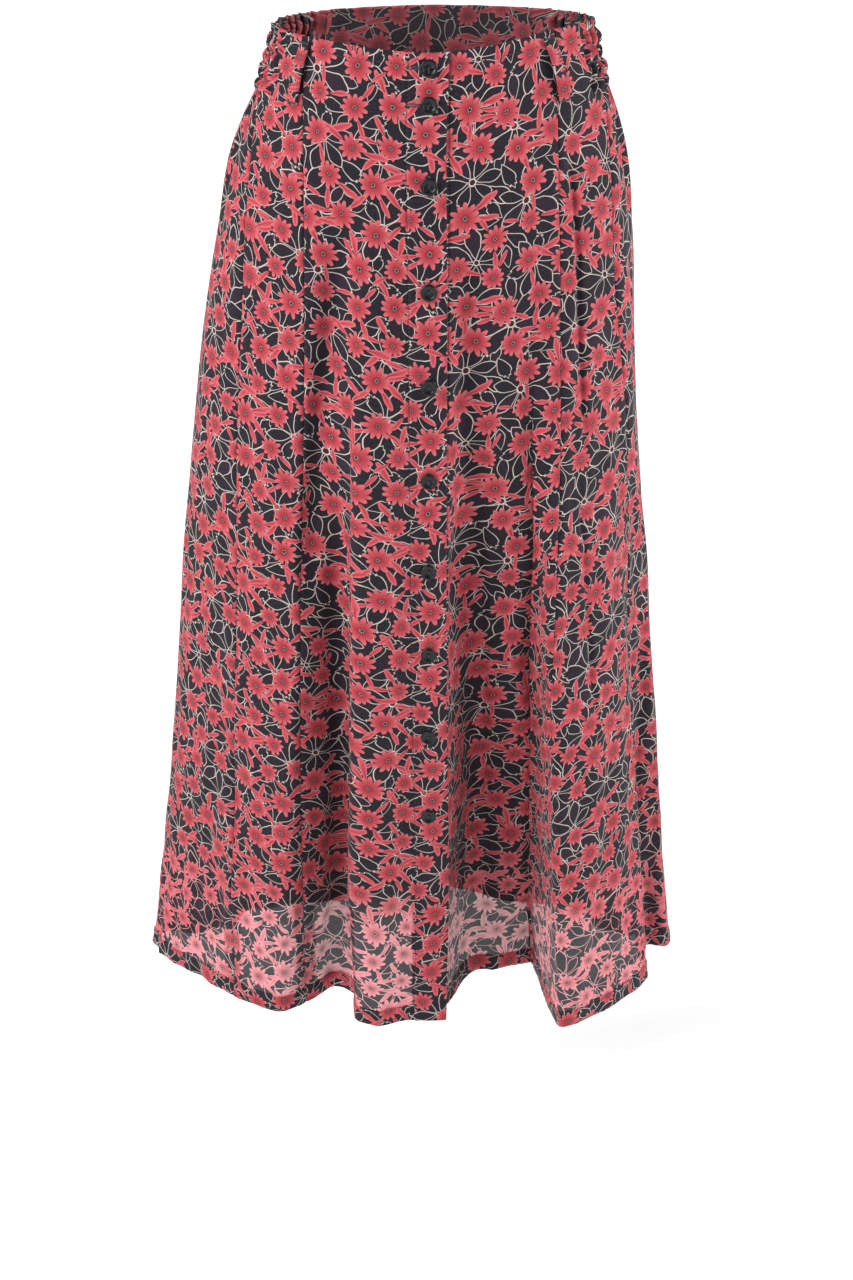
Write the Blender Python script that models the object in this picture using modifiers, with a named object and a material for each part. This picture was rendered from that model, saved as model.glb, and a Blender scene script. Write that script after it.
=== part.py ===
"""Button-front midi skirt, cut in seven gores and worn: it hangs from the waist in soft folds.

Metres, +Z up. The origin is the middle of the waist, the front faces -Y, and right and left are
the wearer's, so the right front lies at -X. A place on the skirt is an angle round the body, 0 at
the centre front and growing towards +X, and a distance down the cloth from the waist edge.
"""

import math

import bpy
import numpy as np
from mathutils import Matrix

# Cloth and seams
LENGTH = 0.837
CLOTH = 0.0012
SEAM_GAP = 0.0004
LIE_GAP = 0.0003
SEAT_RISE = 0.009  # the back hem hangs this much higher, because the cloth goes out over the seat
VALLEY_RISE = 0.14  # and a fold that goes in lifts its hem by this share of its depth

# One row for each section of the worn skirt: distance down; half-width on the right and on the
# left; reach to the front and to the back; how far back the widest point is; and how pointed the
# front and back halves are (1 is an ellipse, 2 a diamond).
SECTIONS = (
    # down, right, left, front, back, widest, front_point, back_point
    (0.000, 0.1135, 0.1210, 0.0785, 0.0785, 0.000, 1.00, 1.00),
    (0.045, 0.1285, 0.1335, 0.0835, 0.0870, 0.002, 1.00, 1.00),
    (0.095, 0.1500, 0.1490, 0.0890, 0.1040, 0.005, 1.00, 1.00),
    (0.150, 0.1635, 0.1580, 0.0910, 0.1180, 0.009, 1.00, 1.00),
    (0.220, 0.1780, 0.1635, 0.0910, 0.1240, 0.014, 1.03, 1.05),
    (0.320, 0.1935, 0.1715, 0.0900, 0.1240, 0.020, 1.07, 1.15),
    (0.430, 0.2080, 0.1835, 0.0885, 0.1220, 0.026, 1.11, 1.25),
    (0.560, 0.2235, 0.1975, 0.0870, 0.1205, 0.032, 1.16, 1.35),
    (0.700, 0.2405, 0.2125, 0.0860, 0.1195, 0.037, 1.20, 1.45),
    (0.837, 0.2610, 0.2290, 0.0855, 0.1185, 0.042, 1.25, 1.55),
)

# How high the waist edge lies at each angle round the body.
WAIST_EDGE = (
    # angle, height
    (-180, 0.0060),
    (-90, 0.0020),
    (-50, -0.0018),
    (-20, -0.0070),
    (0, -0.0097),
    (20, -0.0058),
    (46, 0.0030),
    (90, 0.0050),
    (180, 0.0060),
)

# One row for each large fold: the angles where it starts and ends at the hem, the spread of each
# of its two flanks, its depth (out is positive), how far it leans round the body, how far down the
# cloth it starts as a share of the length, and how much nearer the centre front it is up there.
FOLDS = (
    # first, last, ease_first, ease_last, depth, lean, start, shift
    (-45, -26, 22, 8, 0.014, 0.000, 0.30, 0),
    (-26, -15, 8, 5, -0.027, 0.006, 0.22, -2),
    (-13, -6.5, 14, 5, 0.014, -0.005, 0.22, -2),
    (29, 50, 5, 34, 0.036, -0.018, 0.25, 3),
    (50, 61, 20, 6, 0.008, 0.000, 0.40, 0),
    (62, 78, 8, 9, -0.016, 0.000, 0.32, 0),
    (116, 136, 8, 8, -0.028, 0.000, 0.35, 0),
    (152, 166, 12, 12, -0.010, 0.000, 0.24, 0),
    (173, 187, 12, 12, 0.008, 0.000, 0.22, 0),
    (194, 208, 12, 12, -0.010, 0.000, 0.26, 0),
    (226, 246, 14, 12, -0.022, 0.000, 0.30, 0),
)
FOLD_GROWTH = 1.2  # a fold would be full-grown this much further down than the hem
# The deep fold beside the buttons. Its front edge slips under the lap once the buttons end.
DEEP_FOLD = (5.5, 29, 14, 5, -0.056, 0.014, 0.16, 3)
DEEP_FOLD_FROM = 15.0  # panels other than the one under the lap show it only past this angle
COVERED_TO = 5.0
FREED_TO = -9.0
COVER_EASE = 7.0
LAST_BUTTON_DOWN = 0.640

# Seam lines and the two edges of the button band: how far each lies to the side of the centre
# front. The two back seams come last.
SEAMS = (
    # down, side_right, front_right, under_edge, over_edge, front_left, side_left, back
    (0.000, -0.1085, -0.0900, -0.0145, 0.0148, 0.0895, 0.1165, 0.078),
    (0.055, -0.1275, -0.0917, -0.0145, 0.0125, 0.0935, 0.1305, 0.084),
    (0.110, -0.1355, -0.0922, -0.0145, 0.0128, 0.0955, 0.1370, 0.090),
    (0.170, -0.1413, -0.0930, -0.0145, 0.0135, 0.0985, 0.1410, 0.096),
    (0.320, -0.1530, -0.0980, -0.0145, 0.0140, 0.1020, 0.1600, 0.104),
    (0.430, -0.1570, -0.1018, -0.0145, 0.0146, 0.1020, 0.1680, 0.109),
    (0.560, -0.1628, -0.1060, -0.0145, 0.0160, 0.1010, 0.1780, 0.114),
    (0.700, -0.1690, -0.1105, -0.0145, 0.0182, 0.1000, 0.1880, 0.119),
    (0.837, -0.1730, -0.1150, -0.0145, 0.0160, 0.1050, 0.2000, 0.124),
)
LAP_SINK = 0.0018  # the left front lies this far behind the right one, fading over these angles
LAP_SINK_FROM = 6.0
LAP_SINK_EASE = 9.0

# Elastic shirring at each side of the waist, and the gathers that it throws into the cloth below
SHIRR_FROM = 74.0
SHIRR_TO = 132.0
SHIRR_COUNT = 12
SHIRR_DEPTH = 0.0009
SHIRR_DOWN = 0.052
SHIRR_EASE = 0.030
HEADING_DOWN = 0.007
HEADING_DEPTH = 0.0012
GATHER_COUNT = 6
GATHER_DEPTH = 0.0024
GATHER_PHASE = 0.7
GATHER_FADE = 0.085
GATHER_DOWN = 0.170
END_SHARE = 0.125

# Buttons: dished discs with a rim
BUTTON_WIDE = 0.0126
BUTTON_THICK = 0.0030
BUTTON_RIM = 0.0011
BUTTON_DISH = 0.0006
BUTTON_STEPS = 20
BUTTON_DOWNS = (0.0105, 0.0360, 0.0925, 0.1700, 0.2435, 0.3200, 0.3968, 0.4710, 0.5468, 0.6233)

# Belt loops: a strip of cloth held at both ends, standing off between them
LOOP_WIDE = 0.0092
LOOP_THICK = 0.0014
LOOP_STAND = 0.0036
LOOP_STEPS = 12
LOOP_BOW = 0.7  # below 1, the loop leaves the skirt steeply at its ends
LOOPS = (
    # name, angle, top, bottom, lean in degrees
    ("belt_loop_front_right", -49.5, 0.0035, 0.0475, 0.0),
    ("belt_loop_front_left", 44.0, 0.0035, 0.0500, 2.5),
    ("belt_loop_back_left", 140.0, 0.0035, 0.0475, 0.0),
    ("belt_loop_back_right", 220.0, 0.0035, 0.0475, 0.0),
)

# Steps for slopes, and the rows of faces, closer where the cloth is shirred and gathered
STEP_DEGREES = 0.4
STEP_DOWN = 0.002
DOWNS_SHIRR = (0.0, 0.006, 0.020, 0.038, 0.054)
DOWNS_HIP = (0.074, 0.100, 0.135, 0.180)
DOWNS_SKIRT = (0.250, 0.330, 0.420, 0.515, 0.610, 0.700, 0.775, 0.837)
DOWNS = DOWNS_SHIRR + DOWNS_HIP + DOWNS_SKIRT


def smooth(value):
    """0 below 0, 1 above 1, and an S between."""
    value = np.clip(value, 0.0, 1.0)
    return value * value * (3 - 2 * value)


def along(table, column, place):
    """The smooth curve through one column of a table, read at places in its first column."""
    knots = np.array([row[0] for row in table], float)
    value = np.array([row[column] for row in table], float)
    slope = np.gradient(value, knots)
    index = np.clip(np.searchsorted(knots, place, side="right") - 1, 0, len(knots) - 2)
    span = knots[index + 1] - knots[index]
    part = (place - knots[index]) / span
    return (
        value[index] * (1 + 2 * part) * (1 - part) ** 2
        + value[index + 1] * part * part * (3 - 2 * part)
        + span * slope[index] * part * (1 - part) ** 2
        - span * slope[index + 1] * part * part * (1 - part)
    )


def wrap(angle):
    """The same angle between -180 and 180."""
    return (angle + 180) % 360 - 180


def fold_at(fold, angle, down):
    """How far one fold stands out and how far it leans, growing from its start to the hem."""
    first, last, ease_first, ease_last, depth, lean, start, shift = fold
    middle = 0.5 * (first + last)
    share = down / LENGTH
    grown = smooth((share - start) / (FOLD_GROWTH * (1 - start))) / smooth(1 / FOLD_GROWTH)
    away = wrap(angle - middle) + middle - shift * (1 - share)
    shape = smooth((away - first) / ease_first + 0.5) * smooth((last - away) / ease_last + 0.5)
    return depth * shape * grown, lean * shape * grown


def gathers(angle, down):
    """How far the shirring and the gathers below it stand out."""
    share = (np.abs(wrap(angle)) - SHIRR_FROM) / (SHIRR_TO - SHIRR_FROM)
    ends = smooth(share / END_SHARE) * smooth((1 - share) / END_SHARE)
    heading = HEADING_DEPTH * np.clip(1 - down / HEADING_DOWN, 0, 1)
    tight = SHIRR_DEPTH * (1 - smooth((down - SHIRR_DOWN) / SHIRR_EASE)) + heading
    starting = smooth((down - 0.8 * SHIRR_DOWN) / SHIRR_EASE)
    fading = 1 - smooth((down - GATHER_FADE) / (GATHER_DOWN - GATHER_FADE))
    pleats = np.cos(2 * np.pi * SHIRR_COUNT * share)
    waves = np.cos(2 * np.pi * GATHER_COUNT * share + GATHER_PHASE)
    return ends * (tight * pleats + GATHER_DEPTH * starting * fading * waves)


def half_width(side, down):
    """How far the section reaches to the right (side below 0) or to the left."""
    return np.where(side < 0, along(SECTIONS, 1, down), along(SECTIONS, 2, down))


def section(angle, down):
    """The plain section, before its folds: x and y at an angle and a distance down."""
    sine, cosine = np.sin(np.radians(angle)), np.cos(np.radians(angle))
    widest = along(SECTIONS, 5, down)
    front = -along(SECTIONS, 3, down) - widest
    back = along(SECTIONS, 4, down) - widest
    power = 2 / np.where(cosine > 0, along(SECTIONS, 6, down), along(SECTIONS, 7, down))
    x = half_width(sine, down) * sine
    y = np.where(cosine > 0, front, back) * (1 - np.abs(sine) ** power) ** (1 / power)
    return x, widest + y


def skirt(angle, down, under=False):
    """Points of the skirt. Where under is true they are the left front's, which lies under the lap."""
    angle, down = np.broadcast_arrays(np.asarray(angle, float), np.asarray(down, float))
    x, y = section(angle, down)
    ahead, behind = section(angle + STEP_DEGREES, down), section(angle - STEP_DEGREES, down)
    run_x, run_y = ahead[0] - behind[0], ahead[1] - behind[1]
    length = np.hypot(run_x, run_y)
    run_x, run_y = run_x / length, run_y / length
    front = wrap(angle)
    depth = gathers(angle, down)
    lean = np.zeros_like(depth)
    for fold in FOLDS:
        stands, leans = fold_at(fold, angle, down)
        depth = depth + stands
        lean = lean + leans
    freed = smooth((down - LAST_BUTTON_DOWN) / (LENGTH - LAST_BUTTON_DOWN))
    start = COVERED_TO + (FREED_TO - COVERED_TO) * freed
    stands, leans = fold_at(DEEP_FOLD, angle, down)
    shown = smooth((front - start) / COVER_EASE) if under else 1.0 * (front > DEEP_FOLD_FROM)
    depth = depth + stands * shown
    lean = lean + leans * shown
    if under:
        depth = depth - LAP_SINK * (1 - smooth((front - LAP_SINK_FROM) / LAP_SINK_EASE))
    x = x + depth * run_y + lean * run_x
    y = y - depth * run_x + lean * run_y
    share = down / LENGTH
    z = along(WAIST_EDGE, 1, front) * (1 - share) - down
    z = z + VALLEY_RISE * np.clip(-depth, 0, 1) * share**2
    z = z + SEAT_RISE * share * np.clip(-np.cos(np.radians(angle)), 0, 1)
    return np.stack([x, y, z], axis=-1)


def speed(angle, down, under=False):
    """Metres of cloth round the body for each degree."""
    gap = skirt(angle + STEP_DEGREES, down, under) - skirt(angle - STEP_DEGREES, down, under)
    return np.linalg.norm(gap, axis=-1) / (2 * STEP_DEGREES)


def outward(angle, down, under=False):
    """The unit normal of the skirt, pointing away from the wearer."""
    round_it = skirt(angle + STEP_DEGREES, down, under) - skirt(angle - STEP_DEGREES, down, under)
    down_it = skirt(angle, down + STEP_DOWN, under) - skirt(angle, down - STEP_DOWN, under)
    normal = np.cross(down_it, round_it)
    return normal / np.linalg.norm(normal, axis=-1, keepdims=True)


def seam(column, down):
    """The angle of one of the front's seam lines or band edges at these distances down."""
    side = along(SEAMS, column, down)
    return np.degrees(np.arcsin(side / half_width(side, down)))


def back_seam(side, down):
    """The angle of a back seam: side is 1 for the left one and -1 for the right one."""
    wide = half_width(side, down)
    return 180 - np.degrees(np.arcsin(side * along(SEAMS, 7, down) / wide))


def material(name, colour, roughness):
    """A plain surface of one colour."""
    made = bpy.data.materials.new(name)
    made.use_nodes = True
    shader = made.node_tree.nodes["Principled BSDF"]
    shader.inputs["Base Color"].default_value = (*colour, 1.0)
    shader.inputs["Roughness"].default_value = roughness
    shader.inputs["Metallic"].default_value = 0.0
    return made


def grid_faces(index):
    """The quads between the points of a grid, facing away from the wearer."""
    corners = [index[1:, :-1], index[1:, 1:], index[:-1, 1:], index[:-1, :-1]]
    return np.stack(corners, axis=-1).reshape(-1, 4)


def shell(name, middle, normal, thickness, finish, collection):
    """A closed wall round a grid of points: rows go down, columns go round, and normals face out.

    The wall follows the skirt's own normals, so that two pieces that meet at a seam lean alike.
    """
    rows, columns = middle.shape[:2]
    outer = np.arange(rows * columns).reshape(rows, columns)
    inner = outer + rows * columns
    points = np.stack([middle + 0.5 * thickness * normal, middle - 0.5 * thickness * normal])
    faces = [grid_faces(outer), grid_faces(inner)[:, ::-1]]
    rim = np.concatenate([outer[:, 0], outer[-1, 1:], outer[-2::-1, -1], outer[0, -2:0:-1]])
    after = np.roll(rim, -1)
    faces.append(np.stack([rim, rim + rows * columns, after + rows * columns, after], axis=-1))
    mesh = bpy.data.meshes.new(name)
    mesh.from_pydata(points.reshape(-1, 3).tolist(), [], np.concatenate(faces).tolist())
    mesh.materials.append(finish)
    made = bpy.data.objects.new(name, mesh)
    collection.objects.link(made)
    return made


def gore(name, first, last, count, finish, collection, under=False):
    """One panel, so many faces wide, between two seam lines, each a function of the distance down."""
    down = np.array(DOWNS)[:, None]
    start, end = first(down), last(down)
    start = start + 0.5 * SEAM_GAP / speed(start, down, under)
    end = end - 0.5 * SEAM_GAP / speed(end, down, under)
    angle = start + (end - start) * even(count)[None, :]
    normal = outward(angle, down, under)
    return shell(name, skirt(angle, down, under), normal, CLOTH, finish, collection)


def even(count):
    """Shares from 0 to 1 in this many equal steps."""
    return np.linspace(0.0, 1.0, count + 1)


def belt_loop(name, angle, top, bottom, lean, finish, collection):
    """A strip that leaves the skirt at its top, stands off, and comes back to it at its bottom."""
    part = even(LOOP_STEPS)[:, None]
    down = top + (bottom - top) * part
    middle = angle + lean * part
    side = 0.5 * LOOP_WIDE / speed(middle, down)
    grid_angle = middle + side * np.array([-1.0, 0.0, 1.0])[None, :]
    rest = 0.5 * CLOTH + LIE_GAP + 0.5 * LOOP_THICK
    stand = rest + LOOP_STAND * np.sin(np.pi * part) ** LOOP_BOW
    flat = skirt(middle, down)
    normal = outward(middle, down)
    round_it = skirt(grid_angle, down) - flat
    round_it = round_it - (round_it * normal).sum(-1, keepdims=True) * normal
    middle_of_strip = flat + round_it + stand[..., None] * normal
    facing = np.broadcast_to(normal, middle_of_strip.shape)
    return shell(name, middle_of_strip, facing, LOOP_THICK, finish, collection)


def button(name, down, finish, collection):
    """A turned disc with a rounded rim and a dished face, laid on the lap."""
    radius = 0.5 * BUTTON_WIDE
    profile = (
        (0.0, BUTTON_THICK - BUTTON_DISH),
        (radius - 2.0 * BUTTON_RIM, BUTTON_THICK - BUTTON_DISH),
        (radius - 1.4 * BUTTON_RIM, BUTTON_THICK),
        (radius - 0.6 * BUTTON_RIM, BUTTON_THICK),
        (radius, BUTTON_THICK - BUTTON_RIM),
        (radius, 0.4 * BUTTON_THICK),
        (radius - BUTTON_RIM, 0.0),
        (0.0, 0.0),
    )
    points = [(across, 0.0, high) for across, high in profile]
    edges = [(step, step + 1) for step in range(len(points) - 1)]
    mesh = bpy.data.meshes.new(name)
    mesh.from_pydata(points, edges, [])
    mesh.materials.append(finish)
    made = bpy.data.objects.new(name, mesh)
    collection.objects.link(made)
    turn = made.modifiers.new("turn", "SCREW")
    turn.angle = 2 * math.pi
    turn.steps = BUTTON_STEPS
    turn.render_steps = BUTTON_STEPS
    turn.use_merge_vertices = True
    turn.merge_threshold = 0.00005
    turn.use_smooth_shade = True
    angle, down = np.array(0.0), np.array(down)
    normal = outward(angle, down)
    across = np.array([1.0, 0.0, 0.0]) - normal[0] * normal
    across = across / np.linalg.norm(across)
    turned = np.stack([across, np.cross(normal, across), normal], axis=1)
    made.location = (skirt(angle, down) + (0.5 * CLOTH + LIE_GAP) * normal).tolist()
    made.rotation_mode = "QUATERNION"
    made.rotation_quaternion = Matrix(turned.tolist()).to_quaternion()
    return made


def clear_scene():
    for item in list(bpy.data.objects):
        bpy.data.objects.remove(item, do_unlink=True)


clear_scene()
skirt_parts = bpy.data.collections.new("midi_skirt")
bpy.context.scene.collection.children.link(skirt_parts)
printed_cloth = material("printed_cloth", (0.20, 0.035, 0.045), 0.85)
button_black = material("button_black", (0.012, 0.012, 0.014), 0.35)

FRONT_PANELS = (
    # name, first seam, last seam, columns of faces, lies under the lap
    ("front_side_right", 1, 2, 8, False),
    ("front_centre_right", 2, 4, 18, False),
    ("front_centre_left", 3, 5, 28, True),
    ("front_side_left", 5, 6, 18, False),
)
for name, first_seam, last_seam, count, under in FRONT_PANELS:
    gore(
        name,
        lambda down, column=first_seam: seam(column, down),
        lambda down, column=last_seam: seam(column, down),
        count,
        printed_cloth,
        skirt_parts,
        under,
    )
gore(
    "back_side_left",
    lambda down: seam(6, down),
    lambda down: back_seam(1, down),
    32,
    printed_cloth,
    skirt_parts,
)
gore(
    "back_centre",
    lambda down: back_seam(1, down),
    lambda down: back_seam(-1, down),
    16,
    printed_cloth,
    skirt_parts,
)
gore(
    "back_side_right",
    lambda down: back_seam(-1, down),
    lambda down: seam(1, down) + 360,
    32,
    printed_cloth,
    skirt_parts,
)
for loop_row in LOOPS:
    belt_loop(*loop_row, printed_cloth, skirt_parts)
for number, button_down in enumerate(BUTTON_DOWNS, start=1):
    button(f"button_{number:02d}", button_down, button_black, skirt_parts)
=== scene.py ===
"""Looks of a button-front midi skirt, cut in seven gores from printed viscose and worn.

Metres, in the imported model's frame: +Z up, the front faces -Y, and right and left are the wearer's.
"""

import math

import bpy
import numpy as np
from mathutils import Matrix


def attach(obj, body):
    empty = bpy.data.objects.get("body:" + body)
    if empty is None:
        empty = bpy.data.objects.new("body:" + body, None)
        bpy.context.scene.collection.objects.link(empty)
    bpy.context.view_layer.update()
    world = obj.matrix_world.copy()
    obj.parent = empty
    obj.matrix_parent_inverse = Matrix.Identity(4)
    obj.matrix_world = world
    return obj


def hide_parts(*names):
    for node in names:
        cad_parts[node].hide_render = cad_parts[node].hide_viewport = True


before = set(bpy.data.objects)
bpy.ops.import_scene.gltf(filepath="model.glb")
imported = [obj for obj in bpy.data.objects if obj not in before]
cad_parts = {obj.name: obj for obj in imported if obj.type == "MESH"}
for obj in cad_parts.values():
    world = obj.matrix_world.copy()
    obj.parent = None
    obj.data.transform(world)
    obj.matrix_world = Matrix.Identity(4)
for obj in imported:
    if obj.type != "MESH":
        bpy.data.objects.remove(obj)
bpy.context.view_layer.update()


# The seven panels: gores of thin, soft printed viscose, sewn edge to edge and worn, so that they
# hang from the waist in soft folds. First their form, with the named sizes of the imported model's
# source, so that the cloth lies on its solids.
LENGTH = 0.837
CLOTH = 0.0012
SEAM_GAP = 0.0004
LIE_GAP = 0.0003
SEAT_RISE = 0.009  # the back hem hangs this much higher, because the cloth goes out over the seat
VALLEY_RISE = 0.14  # and a fold that goes in lifts its hem by this share of its depth

# One row for each section of the worn skirt: distance down; half-width on the right and on the
# left; reach to the front and to the back; how far back the widest point is; and how pointed the
# front and back halves are (1 is an ellipse, 2 a diamond).
SECTIONS = (
    # down, right, left, front, back, widest, front_point, back_point
    (0.000, 0.1135, 0.1210, 0.0785, 0.0785, 0.000, 1.00, 1.00),
    (0.045, 0.1285, 0.1335, 0.0835, 0.0870, 0.002, 1.00, 1.00),
    (0.095, 0.1500, 0.1490, 0.0890, 0.1040, 0.005, 1.00, 1.00),
    (0.150, 0.1635, 0.1580, 0.0910, 0.1180, 0.009, 1.00, 1.00),
    (0.220, 0.1780, 0.1635, 0.0910, 0.1240, 0.014, 1.03, 1.05),
    (0.320, 0.1935, 0.1715, 0.0900, 0.1240, 0.020, 1.07, 1.15),
    (0.430, 0.2080, 0.1835, 0.0885, 0.1220, 0.026, 1.11, 1.25),
    (0.560, 0.2235, 0.1975, 0.0870, 0.1205, 0.032, 1.16, 1.35),
    (0.700, 0.2405, 0.2125, 0.0860, 0.1195, 0.037, 1.20, 1.45),
    (0.837, 0.2610, 0.2290, 0.0855, 0.1185, 0.042, 1.25, 1.55),
)

# How high the waist edge lies at each angle round the body.
WAIST_EDGE = (
    # angle, height
    (-180, 0.0060),
    (-90, 0.0020),
    (-50, -0.0018),
    (-20, -0.0070),
    (0, -0.0097),
    (20, -0.0058),
    (46, 0.0030),
    (90, 0.0050),
    (180, 0.0060),
)

# One row for each large fold: the angles where it starts and ends at the hem, the spread of each
# of its two flanks, its depth (out is positive), how far it leans round the body, how far down the
# cloth it starts as a share of the length, and how much nearer the centre front it is up there.
FOLDS = (
    # first, last, ease_first, ease_last, depth, lean, start, shift
    (-45, -26, 22, 8, 0.014, 0.000, 0.16, 0),
    (-26, -15, 8, 5, -0.027, 0.006, 0.12, -2),
    (-13, -6.5, 14, 5, 0.014, -0.005, 0.14, -2),
    (29, 50, 5, 34, 0.036, -0.018, 0.18, 3),
    (50, 61, 20, 6, 0.008, 0.000, 0.40, 0),
    (62, 78, 8, 9, -0.016, 0.000, 0.32, 0),
    (116, 136, 8, 8, -0.028, 0.000, 0.35, 0),
    (152, 166, 12, 12, -0.010, 0.000, 0.24, 0),
    (173, 187, 12, 12, 0.008, 0.000, 0.22, 0),
    (194, 208, 12, 12, -0.010, 0.000, 0.26, 0),
    (226, 246, 14, 12, -0.022, 0.000, 0.30, 0),
)
FOLD_GROWTH = 0.95  # a fold would be full-grown this much further down than the hem
# The deep fold beside the buttons. Its front edge slips under the lap once the buttons end.
DEEP_FOLD = (5.5, 29, 14, 5, -0.056, 0.014, 0.12, 3)
DEEP_FOLD_FROM = 15.0  # panels other than the one under the lap show it only past this angle
COVERED_TO = 5.0
FREED_TO = -9.0
COVER_EASE = 7.0
LAST_BUTTON_DOWN = 0.640

# Seam lines and the two edges of the button band: how far each lies to the side of the centre
# front. The two back seams come last.
SEAMS = (
    # down, side_right, front_right, under_edge, over_edge, front_left, side_left, back
    (0.000, -0.1085, -0.0900, -0.0145, 0.0148, 0.0895, 0.1165, 0.078),
    (0.055, -0.1275, -0.0917, -0.0145, 0.0125, 0.0935, 0.1305, 0.084),
    (0.110, -0.1355, -0.0922, -0.0145, 0.0128, 0.0955, 0.1370, 0.090),
    (0.170, -0.1413, -0.0930, -0.0145, 0.0135, 0.0985, 0.1410, 0.096),
    (0.320, -0.1530, -0.0980, -0.0145, 0.0140, 0.1020, 0.1600, 0.104),
    (0.430, -0.1570, -0.1018, -0.0145, 0.0146, 0.1020, 0.1680, 0.109),
    (0.560, -0.1628, -0.1060, -0.0145, 0.0160, 0.1010, 0.1780, 0.114),
    (0.700, -0.1690, -0.1105, -0.0145, 0.0182, 0.1000, 0.1880, 0.119),
    (0.837, -0.1730, -0.1150, -0.0145, 0.0160, 0.1050, 0.2000, 0.124),
)
LAP_SINK = 0.0018  # the left front lies this far behind the right one, fading over these angles
LAP_SINK_FROM = 6.0
LAP_SINK_EASE = 9.0

# Elastic shirring at each side of the waist, and the gathers that it throws into the cloth below
SHIRR_FROM = 74.0
SHIRR_TO = 132.0
SHIRR_COUNT = 12
SHIRR_DEPTH = 0.0009
SHIRR_DOWN = 0.052
SHIRR_EASE = 0.030
HEADING_DOWN = 0.007
HEADING_DEPTH = 0.0012
GATHER_COUNT = 6
GATHER_DEPTH = 0.0024
GATHER_PHASE = 0.7
GATHER_FADE = 0.085
GATHER_DOWN = 0.170
END_SHARE = 0.125

STEP_DEGREES = 0.4
STEP_DOWN = 0.002


def smooth(value):
    """0 below 0, 1 above 1, and an S between."""
    value = np.clip(value, 0.0, 1.0)
    return value * value * (3 - 2 * value)


def along(table, column, place):
    """The smooth curve through one column of a table, read at places in its first column."""
    knots = np.array([row[0] for row in table], float)
    value = np.array([row[column] for row in table], float)
    slope = np.gradient(value, knots)
    index = np.clip(np.searchsorted(knots, place, side="right") - 1, 0, len(knots) - 2)
    span = knots[index + 1] - knots[index]
    part = (place - knots[index]) / span
    return (
        value[index] * (1 + 2 * part) * (1 - part) ** 2
        + value[index + 1] * part * part * (3 - 2 * part)
        + span * slope[index] * part * (1 - part) ** 2
        - span * slope[index + 1] * part * part * (1 - part)
    )


def wrap(angle):
    """The same angle between -180 and 180."""
    return (angle + 180) % 360 - 180


def fold_at(fold, angle, down):
    """How far one fold stands out and how far it leans, growing from its start to the hem."""
    first, last, ease_first, ease_last, depth, lean, start, shift = fold
    middle = 0.5 * (first + last)
    share = down / LENGTH
    grown = smooth((share - start) / (FOLD_GROWTH * (1 - start))) / smooth(1 / FOLD_GROWTH)
    away = wrap(angle - middle) + middle - shift * (1 - share)
    shape = smooth((away - first) / ease_first + 0.5) * smooth((last - away) / ease_last + 0.5)
    return depth * shape * grown, lean * shape * grown


def gathers(angle, down):
    """How far the shirring and the gathers below it stand out."""
    share = (np.abs(wrap(angle)) - SHIRR_FROM) / (SHIRR_TO - SHIRR_FROM)
    ends = smooth(share / END_SHARE) * smooth((1 - share) / END_SHARE)
    heading = HEADING_DEPTH * np.clip(1 - down / HEADING_DOWN, 0, 1)
    tight = SHIRR_DEPTH * (1 - smooth((down - SHIRR_DOWN) / SHIRR_EASE)) + heading
    starting = smooth((down - 0.8 * SHIRR_DOWN) / SHIRR_EASE)
    fading = 1 - smooth((down - GATHER_FADE) / (GATHER_DOWN - GATHER_FADE))
    pleats = np.cos(2 * np.pi * SHIRR_COUNT * share)
    waves = np.cos(2 * np.pi * GATHER_COUNT * share + GATHER_PHASE)
    return ends * (tight * pleats + GATHER_DEPTH * starting * fading * waves)


def half_width(side, down):
    """How far the section reaches to the right (side below 0) or to the left."""
    return np.where(side < 0, along(SECTIONS, 1, down), along(SECTIONS, 2, down))


def section(angle, down):
    """The plain section, before its folds: x and y at an angle and a distance down."""
    sine, cosine = np.sin(np.radians(angle)), np.cos(np.radians(angle))
    widest = along(SECTIONS, 5, down)
    front = -along(SECTIONS, 3, down) - widest
    back = along(SECTIONS, 4, down) - widest
    power = 2 / np.where(cosine > 0, along(SECTIONS, 6, down), along(SECTIONS, 7, down))
    x = half_width(sine, down) * sine
    y = np.where(cosine > 0, front, back) * (1 - np.abs(sine) ** power) ** (1 / power)
    return x, widest + y


def skirt(angle, down, under=False):
    """Points of the skirt. Where under is true they are the left front's, which lies under the lap."""
    angle, down = np.broadcast_arrays(np.asarray(angle, float), np.asarray(down, float))
    x, y = section(angle, down)
    ahead, behind = section(angle + STEP_DEGREES, down), section(angle - STEP_DEGREES, down)
    run_x, run_y = ahead[0] - behind[0], ahead[1] - behind[1]
    length = np.hypot(run_x, run_y)
    run_x, run_y = run_x / length, run_y / length
    front = wrap(angle)
    depth = gathers(angle, down)
    lean = np.zeros_like(depth)
    for fold in FOLDS:
        stands, leans = fold_at(fold, angle, down)
        depth = depth + stands
        lean = lean + leans
    freed = smooth((down - LAST_BUTTON_DOWN) / (LENGTH - LAST_BUTTON_DOWN))
    start = COVERED_TO + (FREED_TO - COVERED_TO) * freed
    stands, leans = fold_at(DEEP_FOLD, angle, down)
    shown = smooth((front - start) / COVER_EASE) if under else 1.0 * (front > DEEP_FOLD_FROM)
    depth = depth + stands * shown
    lean = lean + leans * shown
    if under:
        depth = depth - LAP_SINK * (1 - smooth((front - LAP_SINK_FROM) / LAP_SINK_EASE))
    x = x + depth * run_y + lean * run_x
    y = y - depth * run_x + lean * run_y
    share = down / LENGTH
    z = along(WAIST_EDGE, 1, front) * (1 - share) - down
    z = z + VALLEY_RISE * np.clip(-depth, 0, 1) * share**2
    z = z + SEAT_RISE * share * np.clip(-np.cos(np.radians(angle)), 0, 1)
    return np.stack([x, y, z], axis=-1)


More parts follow.
